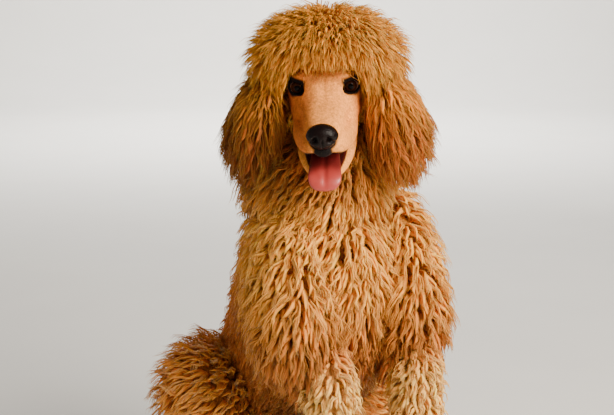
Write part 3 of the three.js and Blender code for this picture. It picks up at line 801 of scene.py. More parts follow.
def coat_object(name, tufts, material):
    """One coat piece from several kinds of tubes, with its colours and its two unwraps."""
    start = np.cumsum([0] + [len(tuft.points) for tuft in tufts])
    points = np.vstack([tuft.points for tuft in tufts])
    points[:, 2] = np.maximum(points[:, 2], COAT_ABOVE_FLOOR)
    quads = np.vstack([tuft.quads + begin for tuft, begin in zip(tufts, start)])
    tips = np.vstack([tuft.tips + begin for tuft, begin in zip(tufts, start)])
    piece = new_object(name, packed(points), quads, tips)
    corners = np.concatenate([quads.ravel(), tips.ravel()])
    write_unwrap(piece.data, "OFBake", np.vstack([tuft.unwrap for tuft in tufts]), corners)
    write_unwrap(piece.data, "Strand", np.vstack([tuft.strand for tuft in tufts]), corners)
    write_attribute(piece.data, "coat_colour", np.clip(np.vstack([tuft.colour for tuft in tufts]), 0, 1))
    piece.data.materials.append(material)
    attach(piece, "root")
    return piece


# Materials

def linear(red, green, blue):
    """A colour given from 0 to 255 as the screen shows it, in the linear values that shaders take."""
    values = np.array([red, green, blue]) / 255
    return tuple(np.where(values <= 0.04045, values / 12.92, ((values + 0.055) / 1.055) ** 2.4))


class Nodes:
    """A new material with its principled shader, and short ways to add and join nodes."""

    def __init__(self, name, **constants):
        self.material = bpy.data.materials.new(name)
        self.material.use_nodes = True
        self.tree = self.material.node_tree
        self.shader = self.tree.nodes["Principled BSDF"]
        for socket, value in constants.items():
            self.shader.inputs[socket.replace("_", " ")].default_value = value

    def add(self, kind, inputs=(), **settings):
        node = self.tree.nodes.new(kind)
        for name, value in settings.items():
            setattr(node, name, value)
        for socket, value in dict(inputs).items():
            if isinstance(value, bpy.types.NodeSocket):
                self.tree.links.new(value, node.inputs[socket])
            else:
                node.inputs[socket].default_value = value
        return node

    def place(self):
        return self.add("ShaderNodeTexCoord").outputs["Object"]

    def attribute(self, name, output):
        return self.add("ShaderNodeAttribute", attribute_name=name).outputs[output]

    def noise(self, scale, detail=3.0, roughness=0.55, vector=None):
        vector = self.place() if vector is None else vector
        inputs = {"Vector": vector, "Scale": scale, "Detail": detail, "Roughness": roughness}
        return self.add("ShaderNodeTexNoise", inputs).outputs["Fac"]

    def scaled(self, vector, scale):
        return self.add("ShaderNodeMapping", {"Vector": vector, "Scale": scale}).outputs["Vector"]

    def unwrap(self, layer):
        return self.add("ShaderNodeUVMap", uv_map=layer).outputs["UV"]

    def ramp(self, value, low, high, first=0.0, last=1.0):
        inputs = {"Value": value, "From Min": low, "From Max": high, "To Min": first, "To Max": last}
        return self.add("ShaderNodeMapRange", inputs).outputs["Result"]

    def mix(self, share, a, b, blend="MIX"):
        node = self.add("ShaderNodeMix", data_type="RGBA", blend_type=blend)
        for socket, value in ((node.inputs[0], share), (node.inputs[6], a), (node.inputs[7], b)):
            if isinstance(value, bpy.types.NodeSocket):
                self.tree.links.new(value, socket)
            else:
                socket.default_value = value if socket == node.inputs[0] else (*value, 1)[:4]
        return node.outputs[2]

    def shade(self, value, darkest, lightest, colour):
        """The colour times a grey between two brightnesses that follows the value."""
        grey = self.ramp(value, 0.25, 0.75, darkest, lightest)
        tone = self.add("ShaderNodeCombineColor", {"Red": grey, "Green": grey, "Blue": grey}).outputs["Color"]
        return self.mix(1.0, colour, tone, "MULTIPLY")

    def bump(self, height, strength, distance, below=None):
        inputs = {"Height": height, "Strength": strength, "Distance": distance}
        if below is not None:
            inputs["Normal"] = below
        return self.add("ShaderNodeBump", inputs).outputs["Normal"]

    def finished(self, colour, roughness=None, normal=None):
        """Joins what is given to the shader, and returns the material."""
        for socket, output in (("Base Color", colour), ("Roughness", roughness), ("Normal", normal)):
            if output is not None:
                self.tree.links.new(output, self.shader.inputs[socket])
        return self.material


def coat_material():
    """Coat: the dog's colours with their painted shade and light, streaked along each strand, with a soft
    sheen.
    """
    nodes = Nodes("curly_coat", Roughness=0.62, Sheen_Weight=0.05, Sheen_Roughness=0.5,
                  Sheen_Tint=(1.0, 0.75, 0.4, 1), Specular_IOR_Level=0.12, Subsurface_Weight=0.5,
                  Subsurface_Scale=0.005, Subsurface_Radius=(1.0, 0.75, 0.5))
    fibres = nodes.noise(1.0, 3.0, 0.6, nodes.scaled(nodes.unwrap("Strand"), (17.0, 3.0, 1.0)))
    colour = nodes.shade(fibres, 0.88, 1.12, nodes.attribute("coat_colour", "Color"))
    colour = nodes.shade(nodes.noise(26.0), 0.88, 1.1, colour)
    return nodes.finished(colour, normal=nodes.bump(fibres, 0.5, 0.0006))


def skin_material():
    """Skin: clipped fur on the face and feet as fine grain, streaks under the coat, and wet parts."""
    nodes = Nodes("clipped_skin", Roughness=0.75, Sheen_Weight=0.02, Specular_IOR_Level=0.1)
    grain = nodes.noise(900.0, 3.0, 0.7)
    short_fur = nodes.noise(260.0, 4.0, 0.7)
    streaks = nodes.noise(330.0, 3.0, 0.6, nodes.scaled(nodes.place(), (1.0, 1.0, 0.16)))
    coated = nodes.attribute("coated", "Fac")
    colour = nodes.shade(grain, 0.7, 1.25, nodes.attribute("skin_colour", "Color"))
    colour = nodes.shade(short_fur, 0.55, 1.35, colour)
    colour = nodes.shade(nodes.noise(38.0), 0.86, 1.1, colour)
    colour = nodes.mix(coated, colour, nodes.shade(streaks, 0.45, 1.5, colour))
    roughness = nodes.ramp(nodes.attribute("wet", "Fac"), 0.0, 1.0, 0.78, 0.3)
    fur = nodes.bump(nodes.mix(coated, short_fur, streaks), 0.7, 0.0025)
    return nodes.finished(colour, roughness, nodes.bump(grain, 0.3, 0.0004, fur))


def nose_material():
    """Nose leather: near black, with small round pebbles and a moist gloss."""
    nodes = Nodes("nose_leather", Specular_IOR_Level=0.1, Coat_Weight=0.05, Coat_Roughness=0.12)
    pebbles = nodes.add("ShaderNodeTexVoronoi", {"Vector": nodes.place(), "Scale": 620.0}).outputs["Distance"]
    patches = nodes.noise(60.0)
    colour = nodes.mix(patches, linear(5, 2, 2), linear(20, 9, 7))
    return nodes.finished(colour, nodes.ramp(patches, 0.3, 0.7, 0.26, 0.4), nodes.bump(pebbles, 0.5, 0.0007))


def eye_material():
    """Eye: black pupil, dark brown iris with fine rays, a little warm white at the corners."""
    nodes = Nodes("eye_glass", Roughness=0.1, Specular_IOR_Level=0.05, Coat_Weight=0.04, Coat_Roughness=0.03)
    place = nodes.unwrap("Iris")
    out = nodes.add("ShaderNodeSeparateXYZ", {"Vector": place}).outputs["Y"]
    rays = nodes.noise(1.0, 2.0, 0.6, nodes.scaled(place, (60.0, 3.0, 1.0)))
    iris = nodes.mix(rays, linear(24, 11, 6), linear(62, 30, 13))
    iris = nodes.mix(nodes.ramp(out, 0.215, 0.245), iris, linear(16, 8, 6))
    colour = nodes.mix(nodes.ramp(out, 0.095, 0.112), linear(4, 3, 3), iris)
    return nodes.finished(nodes.mix(nodes.ramp(out, 0.25, 0.275), colour, linear(120, 88, 74)))


def tongue_material():
    """Tongue: wet pink with fine papillae, with painted shade, dark red, towards the root inside the mouth.
    """
    nodes = Nodes("tongue_flesh", Subsurface_Weight=0.15, Subsurface_Radius=(0.004, 0.0015, 0.001),
                  Specular_IOR_Level=0.5, Coat_Weight=0.25, Coat_Roughness=0.2)
    papillae = nodes.noise(1400.0, 2.0, 0.6)
    flesh = nodes.mix(nodes.noise(70.0), linear(150, 44, 40), linear(180, 64, 56))
    # painted shade inside the mouth: the attribute named root darkens the tongue towards its root
    colour = nodes.mix(nodes.attribute("root", "Fac"), flesh, linear(96, 22, 20))
    roughness = nodes.ramp(papillae, 0.3, 0.7, 0.32, 0.5)
    return nodes.finished(colour, roughness, nodes.bump(papillae, 0.35, 0.0005))


def claw_material():
    """Claw horn: dark and streaked."""
    nodes = Nodes("claw_horn", Specular_IOR_Level=0.5)
    streaks = nodes.noise(400.0, 3.0, 0.6)
    colour = nodes.mix(streaks, linear(30, 22, 18), linear(74, 56, 44))
    return nodes.finished(colour, nodes.ramp(streaks, 0.3, 0.7, 0.3, 0.5), nodes.bump(streaks, 0.3, 0.0003))


def floor_material(colour):
    """Floor: even and matt, with the faintest patches."""
    nodes = Nodes("studio_floor", Roughness=0.85, Specular_IOR_Level=0.2)
    return nodes.finished(nodes.shade(nodes.noise(3.0), 0.98, 1.02, (*colour, 1)))


# Sizes and colours that a user would change

def colour_choice(name, description, red, green, blue):
    return bpy.props.FloatVectorProperty(
        name=name, description=description, subtype="COLOR", size=3, min=0, max=1,
        default=linear(red, green, blue))


def length_choice(name, description, default, low, high):
    return bpy.props.FloatProperty(
        name=name, description=description, unit="LENGTH", default=default, min=low, max=high)


def angle_choice(name, description, degrees):
    return bpy.props.FloatProperty(
        name=name, description=description, subtype="ANGLE", default=math.radians(degrees))


def power_choice(name, description, default, high):
    return bpy.props.FloatProperty(
        name=name, description=description, unit="POWER", default=default, min=0, max=high)


class PoodleColours(bpy.types.PropertyGroup):
    """The dog's own colours."""
    coat: colour_choice("Coat", "Curly coat of the back, flanks and hindquarters", 210, 119, 50)
    chest: colour_choice("Chest", "Paler coat of the chest", 232, 154, 62)
    leg: colour_choice("Legs", "Cream coat of the forelegs", 238, 172, 92)
    crown: colour_choice("Topknot", "Golden coat of the topknot", 215, 131, 38)
    ear: colour_choice("Ears", "Deep orange coat of the ears", 166, 82, 28)
    blaze: colour_choice("Blaze", "Palest fur, down the middle of the face", 242, 154, 70)
    cheek: colour_choice("Cheeks", "Clipped fur of the cheeks and feet", 202, 110, 40)


class PoodleSkin(bpy.types.PropertyGroup):
    """How finely the skin is meshed."""
    head_voxel: length_choice("Head", "Width of the skin's faces on the head", 0.0016, 0.001, 0.01)
    foot_voxel: length_choice("Feet", "Width of the skin's faces on the feet", 0.0022, 0.001, 0.01)
    body_voxel: length_choice("Body", "Width of the skin's faces under the coat", 0.006, 0.003, 0.02)


class PoodleStage(bpy.types.PropertyGroup):
    """Camera, lights and floor."""
    focal: bpy.props.FloatProperty(
        name="Focal length", description="Focal length of the camera in millimetres", default=72.7,
        min=20, max=200)
    distance: length_choice("Distance", "From the camera to the point between the eyes", 1.6, 0.5, 5)
    azimuth: angle_choice("Azimuth", "Where the camera stands round the dog", -26)
    downward: angle_choice("Downward", "How far the camera looks down", 10)
    key_power: power_choice("Key light", "Power of the main light, at the viewer's right", 178, 1000)
    fill_power: power_choice("Fill light", "Power of the light at the viewer's left", 4, 1000)
    backdrop_power: power_choice("Backdrop light", "Power of the light on the backdrop", 400, 2000)
    sky: bpy.props.FloatProperty(
        name="Room light", description="Strength of the even light all round", default=0.25, min=0, max=5)
    floor_colour: colour_choice("Floor", "Pale floor", 240, 237, 231)


class PoodleSettings(bpy.types.PropertyGroup):
    """Everything that a user would change."""
    colours: bpy.props.PointerProperty(type=PoodleColours, name="Colours", description="The dog's colours")
    skin: bpy.props.PointerProperty(type=PoodleSkin, name="Skin", description="How finely the skin is meshed")
    stage: bpy.props.PointerProperty(type=PoodleStage, name="Stage", description="Camera, lights and floor")


# The skin

FLESH_NODES = (
    "head", "lower_jaw", "neck", "torso", "tail", "topknot", "ear_left", "ear_right", "foreleg_left",
    "foreleg_right", "hindleg_left", "hindleg_right", "forepaw_left", "forepaw_right", "hindpaw_left",
    "hindpaw_right")

# Where bare parts begin and are wholly bare: distances from the forms that shape them, in their sizes
UPPER_RIM, LOWER_RIM = (1.3, 1.14), (1.16, 1.08)
UPPER_INSIDE, LOWER_INSIDE = (1.14, 1.02), (1.1, 1.02)
LIP_SKIN, LIP_RIM = (1.4, 1.2), (4.5, 2.0)  # the second is millimetres above the lip's foot
LID_SKIN, LID_SIZE = (1.2, 0.88), (18, 18, 14.9)
NOSE_SKIN, NOSE_EDGE, BELOW_NOSE = (1.1, 0.95), 2.5, (1.15, 0.8)
PAD_HEIGHT = (3.5, 1.0)
FOOT_TOP = 70
HIDDEN_SHADE = 0.6  # painted shade of the skin under the coat: its colour as a share of the coat's


def distance_in(size, points, at):
    """How far points lie from a place, measured in a size of its own along each axis."""
    return np.sqrt((((points - np.array(at)) / np.array(size)) ** 2).sum(1))


def bare_parts(head):
    """How bare the skin is at points of the head's frame, each from 0 to 1: the lips' rim, the inside of
    the mouth, the lids with painted shade under the brows above them, and the rim and underside of the nose."""
    near_mouth = head[:, 1] < 20
    upper = inside_form(head, PALATE_STATIONS)
    lower = inside_form(drop_jaw(head, -JAW_DROP), MOUTH_FLOOR_STATIONS)
    rim = np.maximum(smooth_step(*UPPER_RIM, upper), smooth_step(*LOWER_RIM, lower)) * near_mouth
    inner = np.maximum(smooth_step(*UPPER_INSIDE, upper), smooth_step(*LOWER_INSIDE, lower)) * near_mouth
    lips = np.array(LIP_STATIONS, float)
    lip_foot = np.interp(head[:, 1], lips[:, 1], lips[:, 2] - lips[:, 4])
    folded = np.column_stack([np.abs(head[:, 0]), head[:, 1:]])
    on_lip = smooth_step(*LIP_SKIN, inside_form(folded, LIP_STATIONS))
    rim = np.maximum(rim, on_lip * smooth_step(*LIP_RIM, head[:, 2] - lip_foot))
    lids = np.zeros(len(head))
    for side in SIDES.values():
        # painted shade: the dark almond round each eye is the lids' own dark rim, and above the eye it is
        # painted shade under the brow
        lid_at = np.array([EYE_AT[0] * side * 1.08, EYE_AT[1] - 6, EYE_AT[2] + 3])
        almond = distance_in(LID_SIZE, (head - lid_at) @ turn_y(-LID_TILT * side), (0, 0, 0))
        lids = np.maximum(lids, smooth_step(*LID_SKIN, almond))
    nose = smooth_step(*NOSE_SKIN, distance_in(np.array(NOSE_SIZE) + NOSE_EDGE, head, NOSE_AT))
    below = smooth_step(*BELOW_NOSE, distance_in(PHILTRUM, head, PHILTRUM_AT))
    return rim, inner, lids, np.maximum(nose, below)


def paint_skin(piece, colours):
    """Colours and wetness at each point of the skin: the dog's colours with their painted shade, then dark
    lips, mouth, lids with painted shade under the brows, and pads.
    """
    places, normals, _ = mesh_arrays(piece.data)
    points = unpacked(places)
    names = np.concatenate([nearest_form(part)[0] for part in np.array_split(points, 12)])
    is_foot = points[:, 2] < FOOT_TOP
    colour = mixed(markings_with_painted_shade(points, names, colours, HIDDEN_SHADE), np.array(colours.cheek), is_foot)
    dark, mouth = np.array(linear(13, 6, 5)), np.array(linear(88, 20, 16))
    rim, inner, lids, nose = bare_parts(to_head(points))
    pad = smooth_step(*PAD_HEIGHT, points[:, 2]) * (np.abs(normals[:, 2]) > 0.3)
    for share in (rim, lids, nose, pad):
        colour = mixed(colour, dark, share)
    colour = mixed(colour, mouth, inner)
    coated = np.where(on_forms(names, "skull", "jaw") | is_foot, 0.0, 1.0)
    write_attribute(piece.data, "skin_colour", colour)
    write_attribute(piece.data, "wet", np.maximum.reduce([0.8 * rim, inner, 0.15 * lids, 0.3 * nose]))
    write_attribute(piece.data, "coated", coated)


class POODLE_OT_skin(bpy.types.Operator):
    """Builds the one closed skin from head to toes"""
    bl_idname = "poodle.skin"
    bl_label = "Skin"

    def execute(self, context):
        settings = context.scene.poodle
        piece = closed_skin(settings.skin)
        places, _, _ = mesh_arrays(piece.data)
        places[:, 2] = np.maximum(places[:, 2], 0)
        move_vertices(piece.data, places)
        piece.data.materials.clear()
        piece.data.materials.append(skin_material())
        paint_skin(piece, settings.colours)
        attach(piece, "root")
        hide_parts(*FLESH_NODES)
        return {"FINISHED"}


# The bare parts of the face, and the claws

CORNEA_RISE, CORNEA_EDGE = 0.8, 0.28
EYE_TURN = 7
TONGUE_GROOVE_DEPTH, TONGUE_GROOVE_WIDTH, TONGUE_EDGE_RISE = 2.0, 3.0, 2.5
TONGUE_SHADE_ALONG = (-95, -72)  # where painted shade inside the mouth starts to darken the tongue towards its root, along the head
CLAWS_ABOVE_FLOOR = 0.3


class POODLE_OT_eyes(bpy.types.Operator):
    """Builds both eyes, each one ball with a bulging cornea"""
    bl_idname = "poodle.eyes"
    bl_label = "Eyes"

    def execute(self, context):
        material = eye_material()
        for name, side in SIDES.items():
            piece = eye_object(name, side)
            piece.data.materials.append(material)
            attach(piece, "root")
            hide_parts("eye_" + name)
        return {"FINISHED"}


def eye_object(name, side, rings=48, around=64):
    """A ball whose pole looks forwards. Its radius is the eye's, plus the cornea's rise times 1 less the
    square of how far round a point lies, as a share of the cornea's edge."""
    u = np.linspace(0, math.pi, rings)[:, None]
    radius = EYE_RADIUS + CORNEA_RISE * np.clip(1 - (u / (CORNEA_EDGE * math.pi)) ** 2, 0, 1)
    grid = ball_grid((0, 0, 0), (1, 1, 1), None, rings, around) * radius[..., None]
    points, quads, tips = closed_surface(from_head(grid @ turn_z(EYE_TURN * side).T + eye_centre(side)))
    piece = new_object("eyeball_" + name, packed(points), quads, tips)
    angle_out = np.concatenate([[0], np.repeat(np.linspace(0, 1, rings)[1:-1], around), [1]])
    angle_round = np.concatenate([[0.5], np.tile(np.arange(around) / around, rings - 2), [0.5]])
    corners = np.concatenate([quads.ravel(), tips.ravel()])
    write_unwrap(piece.data, "Iris", np.stack([angle_round, angle_out], -1), corners)
    return piece


def nose_grid(rings=72, around=96):
    """The nose pad: an ellipsoid flattened on top and narrowed below, less a groove down the middle of
    the front and two nostrils. Each nostril is a dent of up to 7 mm, the sum of a round and a long
    slanting bell, with a wing that swells above it."""
    grid = ball_grid((0, 0, 0), (1, 1, 1), rings=rings, around=around)
    x, y, z = grid[..., 0], grid[..., 1], grid[..., 2]
    wide = NOSE_SIZE[0] * (1 - 0.2 * smooth_step(0.1, -1, z))
    high = NOSE_SIZE[2] * np.where(z > 0, 0.92, 1.0)
    shaped = np.stack([x * wide, y * NOSE_SIZE[1], z * high], -1)
    groove = np.exp(-(shaped[..., 0] / 1.3) ** 2)
    groove *= smooth_step(2, -4, shaped[..., 2]) * smooth_step(0.2, -0.6, y)
    shaped[..., 1] += 1.8 * groove
    for side in SIDES.values():
        across = shaped[..., 0] * side
        up = shaped[..., 2] + 1
        hole = np.exp(-((across - 8.2) / 3.1) ** 2 - ((up + 0.25 * (across - 8)) / 3.4) ** 2)
        slit = np.exp(-((across - 13.5) / 4.2) ** 2 - ((up + 3.6 + 0.3 * (across - 13)) / 1.7) ** 2)
        dent = np.clip(6.5 * hole + 3.5 * slit, 0, 7) * smooth_step(0.25, -0.3, y)
        wing = np.exp(-((across - 11.5) / 4.5) ** 2 - ((up - 4.5) / 3.2) ** 2) * smooth_step(0.3, -0.4, y)
        shaped[..., 1] += dent - 1.2 * wing
    return shaped + np.array(NOSE_AT)


def tongue_grid():
    """The tongue: a form along its stations, less a bell across its middle on the upper side, with its
    edges lifted by the square of how far out they lie."""
    grid = form_grid(TONGUE_STATIONS, rings=60, around=56, dome=4.0)
    rows = np.linspace(0, 1, grid.shape[0])[:, None]
    across = grid[..., 0]
    top = smooth_step(-1, 1, grid[..., 2] - grid[..., 2].mean(1, keepdims=True))
    groove = TONGUE_GROOVE_DEPTH * np.exp(-(across / TONGUE_GROOVE_WIDTH) ** 2) * top
    groove = groove * smooth_step(0.1, 0.4, rows) * smooth_step(0.98, 0.8, rows)
    lifted = TONGUE_EDGE_RISE * (across / 20) ** 2 * smooth_step(0.2, 0.8, rows)
    grid[..., 2] += lifted - groove
    return grid


class POODLE_OT_nose(bpy.types.Operator):
    """Builds the nose pad with its nostrils"""
    bl_idname = "poodle.nose"
    bl_label = "Nose"

    def execute(self, context):
        piece = surface_object("nose_pad", [from_head(nose_grid())])
        piece.data.materials.append(nose_material())
        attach(piece, "root")
        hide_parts("nose")
        return {"FINISHED"}


class POODLE_OT_tongue(bpy.types.Operator):
    """Builds the tongue, grooved along its middle"""
    bl_idname = "poodle.tongue"
    bl_label = "Tongue"

    def execute(self, context):
        points, quads, tips = closed_surface(from_head(tongue_grid()))
        piece = new_object("tongue_blade", packed(points), quads, tips)
        # painted shade inside the mouth: 0 towards the tip, 1 towards the root
        write_attribute(piece.data, "root", smooth_step(*TONGUE_SHADE_ALONG, to_head(points)[:, 1]))
        piece.data.materials.append(tongue_material())
        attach(piece, "root")
        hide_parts("tongue")
        return {"FINISHED"}


class POODLE_OT_claws(bpy.types.Operator):
    """Builds the sixteen claws"""
    bl_idname = "poodle.claws"
    bl_label = "Claws"

    def execute(self, context):
        surfaces = []
        for name in ("forepaw", "hindpaw"):
            for side in SIDES.values():
                axes, at = paw_pose(name, side)
                for toe in TOES:
                    grid = form_grid(claw_stations(*toe), rings=16, around=14, dome=2.4) @ axes.T + at
                    grid[..., 2] = np.maximum(grid[..., 2], CLAWS_ABOVE_FLOOR)
                    surfaces.append(grid)
        piece = surface_object("claws", surfaces)
        piece.data.materials.append(claw_material())
        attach(piece, "root")
        return {"FINISHED"}


# The coat: where each kind grows and how it is shaped

# Piece, the forms it grows on, the solid node it stands for, its kind of coat, and its share of the
# region: front or back of a form, or all of it
COAT_PIECES = (
    ("topknot_front", ("topknot",), "topknot", "topknot", "front"),
    ("topknot_back", ("topknot",), "topknot", "topknot", "back"),
    ("ear_left", ("ear_left",), "ear_left", "ear", "all"),
    ("ear_right", ("ear_right",), "ear_right", "ear", "all"),
    ("neck", ("neck", "nape"), "neck", "neck", "all"),
    ("chest", ("torso",), "torso", "trunk", "front"),
    ("back", ("torso",), "torso", "trunk", "back"),
    ("foreleg_left", ("shoulder_left", "forearm_left"), "foreleg_left", "foreleg", "all"),
    ("foreleg_right", ("shoulder_right", "forearm_right"), "foreleg_right", "foreleg", "all"),
    ("hindleg_left", ("thigh_left", "shank_left", "metatarsus_left"), "hindleg_left", "hindleg", "all"),
    ("hindleg_right", ("thigh_right", "shank_right", "metatarsus_right"), "hindleg_right", "hindleg", "all"),
    ("tail", ("tail",), "tail", "tail", "all"),
    ("cheeks", ("skull",), "head", "cheeks", "all"),
    ("face", ("skull",), "head", "face", "all"),
    ("feet", ("metatarsus_left", "metatarsus_right", "forearm_left", "forearm_right"), "forepaw_left",
     "feet", "all"),
)
PARTINGS = {"topknot": 38.0, "trunk": 20.0}  # where front and back part: how far back, in millimetres
# Layers of each kind of coat: spacing of the locks, their length as a share of the coat's, how far they
# stand, how far they droop, waves along them, the waves' swing, samples along them, the middle lock's
# radius, strands round it, the strands' radius, how far they start from the middle, how far they gather
# at the tip, the least length of the coat, and how much one strand differs from the next in brightness
PLAIN_LAYER = dict(spacing=12, longer=1.3, stand=1.0, droop=0.9, waves=2.0, swing=3.4, samples=7, radius=0,
                   strands=6, thin=0.85, spread=3.4, gather=0.4, floor=14, vary=0.08)
UNDERCOAT = dict(longer=0.95, stand=0.6, droop=1.0, waves=1.0, swing=2.5, samples=5, radius=5.0, strands=0)
SHORT_FUR = dict(longer=1.0, stand=0.5, droop=1.0, waves=0.5, swing=0.3, samples=3, strands=1, thin=0.55,
                 spread=0.5, floor=6.5, vary=0.24)
COAT_LAYERS = {
    "topknot": (
        dict(UNDERCOAT, spacing=7.6, longer=1.02, stand=1.4, droop=0.35, radius=4.2),
        dict(spacing=5.0, longer=1.15, stand=1.5, droop=0.55, waves=1.4, swing=2.4, samples=6, strands=7,
             thin=1.15, spread=5.4, gather=0.12, vary=0.05)),
    "ear": (
        dict(UNDERCOAT, spacing=9, longer=1.15),
        dict(spacing=7.2, longer=1.6, stand=0.6, droop=1.4, waves=1.8, swing=2.4, samples=8, strands=5,
             thin=1.05, spread=4.5, gather=0.5)),
    "neck": (
        dict(UNDERCOAT, spacing=9.5, longer=1.05),
        dict(spacing=13, waves=2.4, swing=4.0, strands=5, thin=1.7)),
    "trunk": (
        dict(UNDERCOAT, spacing=9.4, longer=1.15, radius=5.8),
        dict(spacing=14.0, longer=1.25, waves=2.5, swing=4.2, samples=8, strands=5, thin=2.0, spread=5.0,
             gather=0.3)),
    "foreleg": (
        dict(UNDERCOAT, spacing=10, longer=1.1, radius=5.6),
        dict(spacing=15, waves=1.8, thin=1.8, spread=4.4, gather=0.3)),
    "hindleg": (
        dict(UNDERCOAT, spacing=11.5, longer=1.05),
        dict(spacing=17.4, longer=1.5, stand=1.1, swing=4.4, thin=1.6, spread=4.2)),
    "tail": (dict(UNDERCOAT, spacing=9), dict(spacing=10, droop=0.7, waves=1.7, swing=3.2)),
    "cheeks": (dict(spacing=5, stand=0.5, waves=1.0, swing=1.2, strands=4, thin=0.6, floor=9, vary=0.15),),
    "face": (dict(SHORT_FUR, spacing=3.4),),
    "feet": (dict(SHORT_FUR, spacing=7, longer=1.2),),
}
COAT_SPARSE = {"back": 1.25, "topknot_back": 1.15}  # wider spacing on pieces that the camera sees less
FREE_OF_FORMS = ("face", "feet")  # kinds that grow wherever they are allowed, whatever form is nearest
UNTRIMMED = ("face", "feet", "cheeks")  # kinds that don't end at the window of the clipped face
MIDDLE_LOCK_TWIST = 1.2
# painted light: the undercoat's flat middle locks are brighter than their colour, to lighten the shade in the
# gaps between the locks
MIDDLE_LOCK_PAINTED_LIGHT = 1.25

# Where each kind begins or ends, in the head's frame unless it says the floor
TOPKNOT_FOOT, TOPKNOT_SIDE = 12, 50
NECK_TOP, EAR_TOP = 30, 4
FORELEG_ABOVE_FLOOR, FEET_ABOVE_FLOOR, COAT_ABOVE_SOLE = 62, 78, 4
FACE_BACK, FACE_TOP, FACE_FOOT, FACE_SIDE = 54, 24, -118, 60
TEMPLE_OUTSIDE, TEMPLE_BEHIND = 46, 6
FOREHEAD_ABOVE, FOREHEAD_INSIDE = 13, 15

WHORL_AT = (4, 78, 60)  # the middle of the crown, from which the topknot's hair falls to all sides
# The way the coat lies where it is the same all over a region, in the head's frame or the dog's
LIE_ON_HEAD = {"face": (0.0, 1.0, -0.15), "cheeks": (0.0, 0.5, -1.0), "ear_left": (0.22, 0.0, -1.0),
               "ear_right": (-0.22, 0.0, -1.0)}
LIE_ON_BODY = {"feet": (0.0, -0.7, -0.7), "tail": (0.3, 1.0, -0.1)}
LIE_DOWN = (0.0, 0.25, -1.0)
FRINGE_HALF_WIDTH = 18


def coat_allowed(points, kind, share):
    """Where a kind of coat grows: on its side of the parting, the topknot above the brows and at the
    sides, the tufts of the cheeks at the temples and above the brows, the face's short fur where no
    part is bare, and the legs' coat above the clipped feet."""
    head = to_head(points)
    out, back, up = np.abs(head[:, 0]), head[:, 1], head[:, 2]
    right = points[:, 2] > COAT_ABOVE_SOLE
    if kind in PARTINGS:
        behind = (back if kind == "topknot" else points[:, 1]) > PARTINGS[kind]
        right &= behind == (share == "back")
    if kind == "topknot":
        right &= (up > TOPKNOT_FOOT) | (out > TOPKNOT_SIDE)
    if kind == "neck":
        right &= up < NECK_TOP
    if kind == "ear":
        right &= up < EAR_TOP
    if kind == "foreleg":
        right &= points[:, 2] > FORELEG_ABOVE_FLOOR
    if kind == "feet":
        right &= points[:, 2] < FEET_ABOVE_FLOOR
    if kind in ("face", "cheeks"):
        right &= (back < FACE_BACK) & (up < FACE_TOP) & (up > FACE_FOOT) & (out < FACE_SIDE)
        right &= np.maximum.reduce(bare_parts(head)) < 0.1
    if kind == "cheeks":
        temples = (out > TEMPLE_OUTSIDE) & (back > TEMPLE_BEHIND)
        right &= temples | ((up > FOREHEAD_ABOVE) & (out < FOREHEAD_INSIDE))
    return right


def lie_of_coat(points, out, region, draw):
    """The way the coat falls at points of the dog's frame, along the skin and free: down and back over
    the body, sideways away from the parting on the chest, outwards and back on the thighs, from the
    crown's whorl to all sides, and down with an outward flare on the ears."""
    count = len(points)
    lie = np.tile(np.array(LIE_ON_BODY.get(region, LIE_DOWN)), (count, 1))
    if region in LIE_ON_HEAD:
        lie = np.tile(np.array(LIE_ON_HEAD[region]), (count, 1)) @ HEAD_AXES.T
    if region in ("chest", "back", "neck"):
        chest = smooth_step(0.0, -0.6, out[:, 1])
        lie[:, 0] += np.tanh((points[:, 0] - 10) / 60) * chest
        lie[:, 1] *= 1 - chest
    if region.startswith("topknot"):
        away = to_head(points) - np.array(WHORL_AT)
        sideways = 0.5 + 0.5 * smooth_step(0, 60, away[:, 2] + WHORL_AT[2])
        away *= np.column_stack([sideways, np.ones(count), np.zeros(count)])
        lie = (away / 70 + np.array([0.0, -0.1, -0.9])) @ HEAD_AXES.T
    if region.startswith("hindleg"):
        outwards = SIDES[region.split("_")[1]] * (1 - 0.6 * smooth_step(70, 150, points[:, 1]))
        down = -0.8 + 0.5 * smooth_step(120, 230, points[:, 2])
        lie = np.column_stack([outwards, np.full(count, -0.2), down])
    lie = lie + (0.12 if region.startswith(("topknot", "face")) else 0.2) * draw.standard_normal((count, 3))
    flat = lie - (lie * out).sum(1, keepdims=True) * out
    return unit(flat + 0.02 * lie), unit(lie)


def fullness(name, outs, place):
    """How far each lock stands, as a share of its layer's stand: least at the foot of the topknot and
    at the top of the ears, so that the two make one outline."""
    if name.startswith("topknot"):
        facing = outs @ HEAD_AXES
        full = 0.42 + 0.65 * smooth_step(0.1, 1.0, facing[:, 2]) + 0.45 * facing[:, 0] ** 2
        return full * (1 - 0.5 * np.abs(facing[:, 1]))
    if name.startswith("ear"):
        return 0.5 + 0.5 * smooth_step(0.1, 0.5, place)
    return np.ones(len(outs))


def in_window(head):
    """Whether points of the head's frame lie before the clipped face or the open mouth. The face's
    window is an arch: the third powers of the shares of its half width and height add up to 1."""
    x, y, z = head[..., 0], head[..., 1], head[..., 2]
    wide, high, foot, low, back = FACE_WINDOW
    arch = np.abs(x / wide) ** 3 + (np.maximum(z - foot, 0) / high) ** 3
    mouth = (((head - np.array(JAW_WINDOW_AT)) / np.array(JAW_WINDOW)) ** 2).sum(-1) < 1
    return ((arch < 1) & (y < back) & (z > low)) | mouth


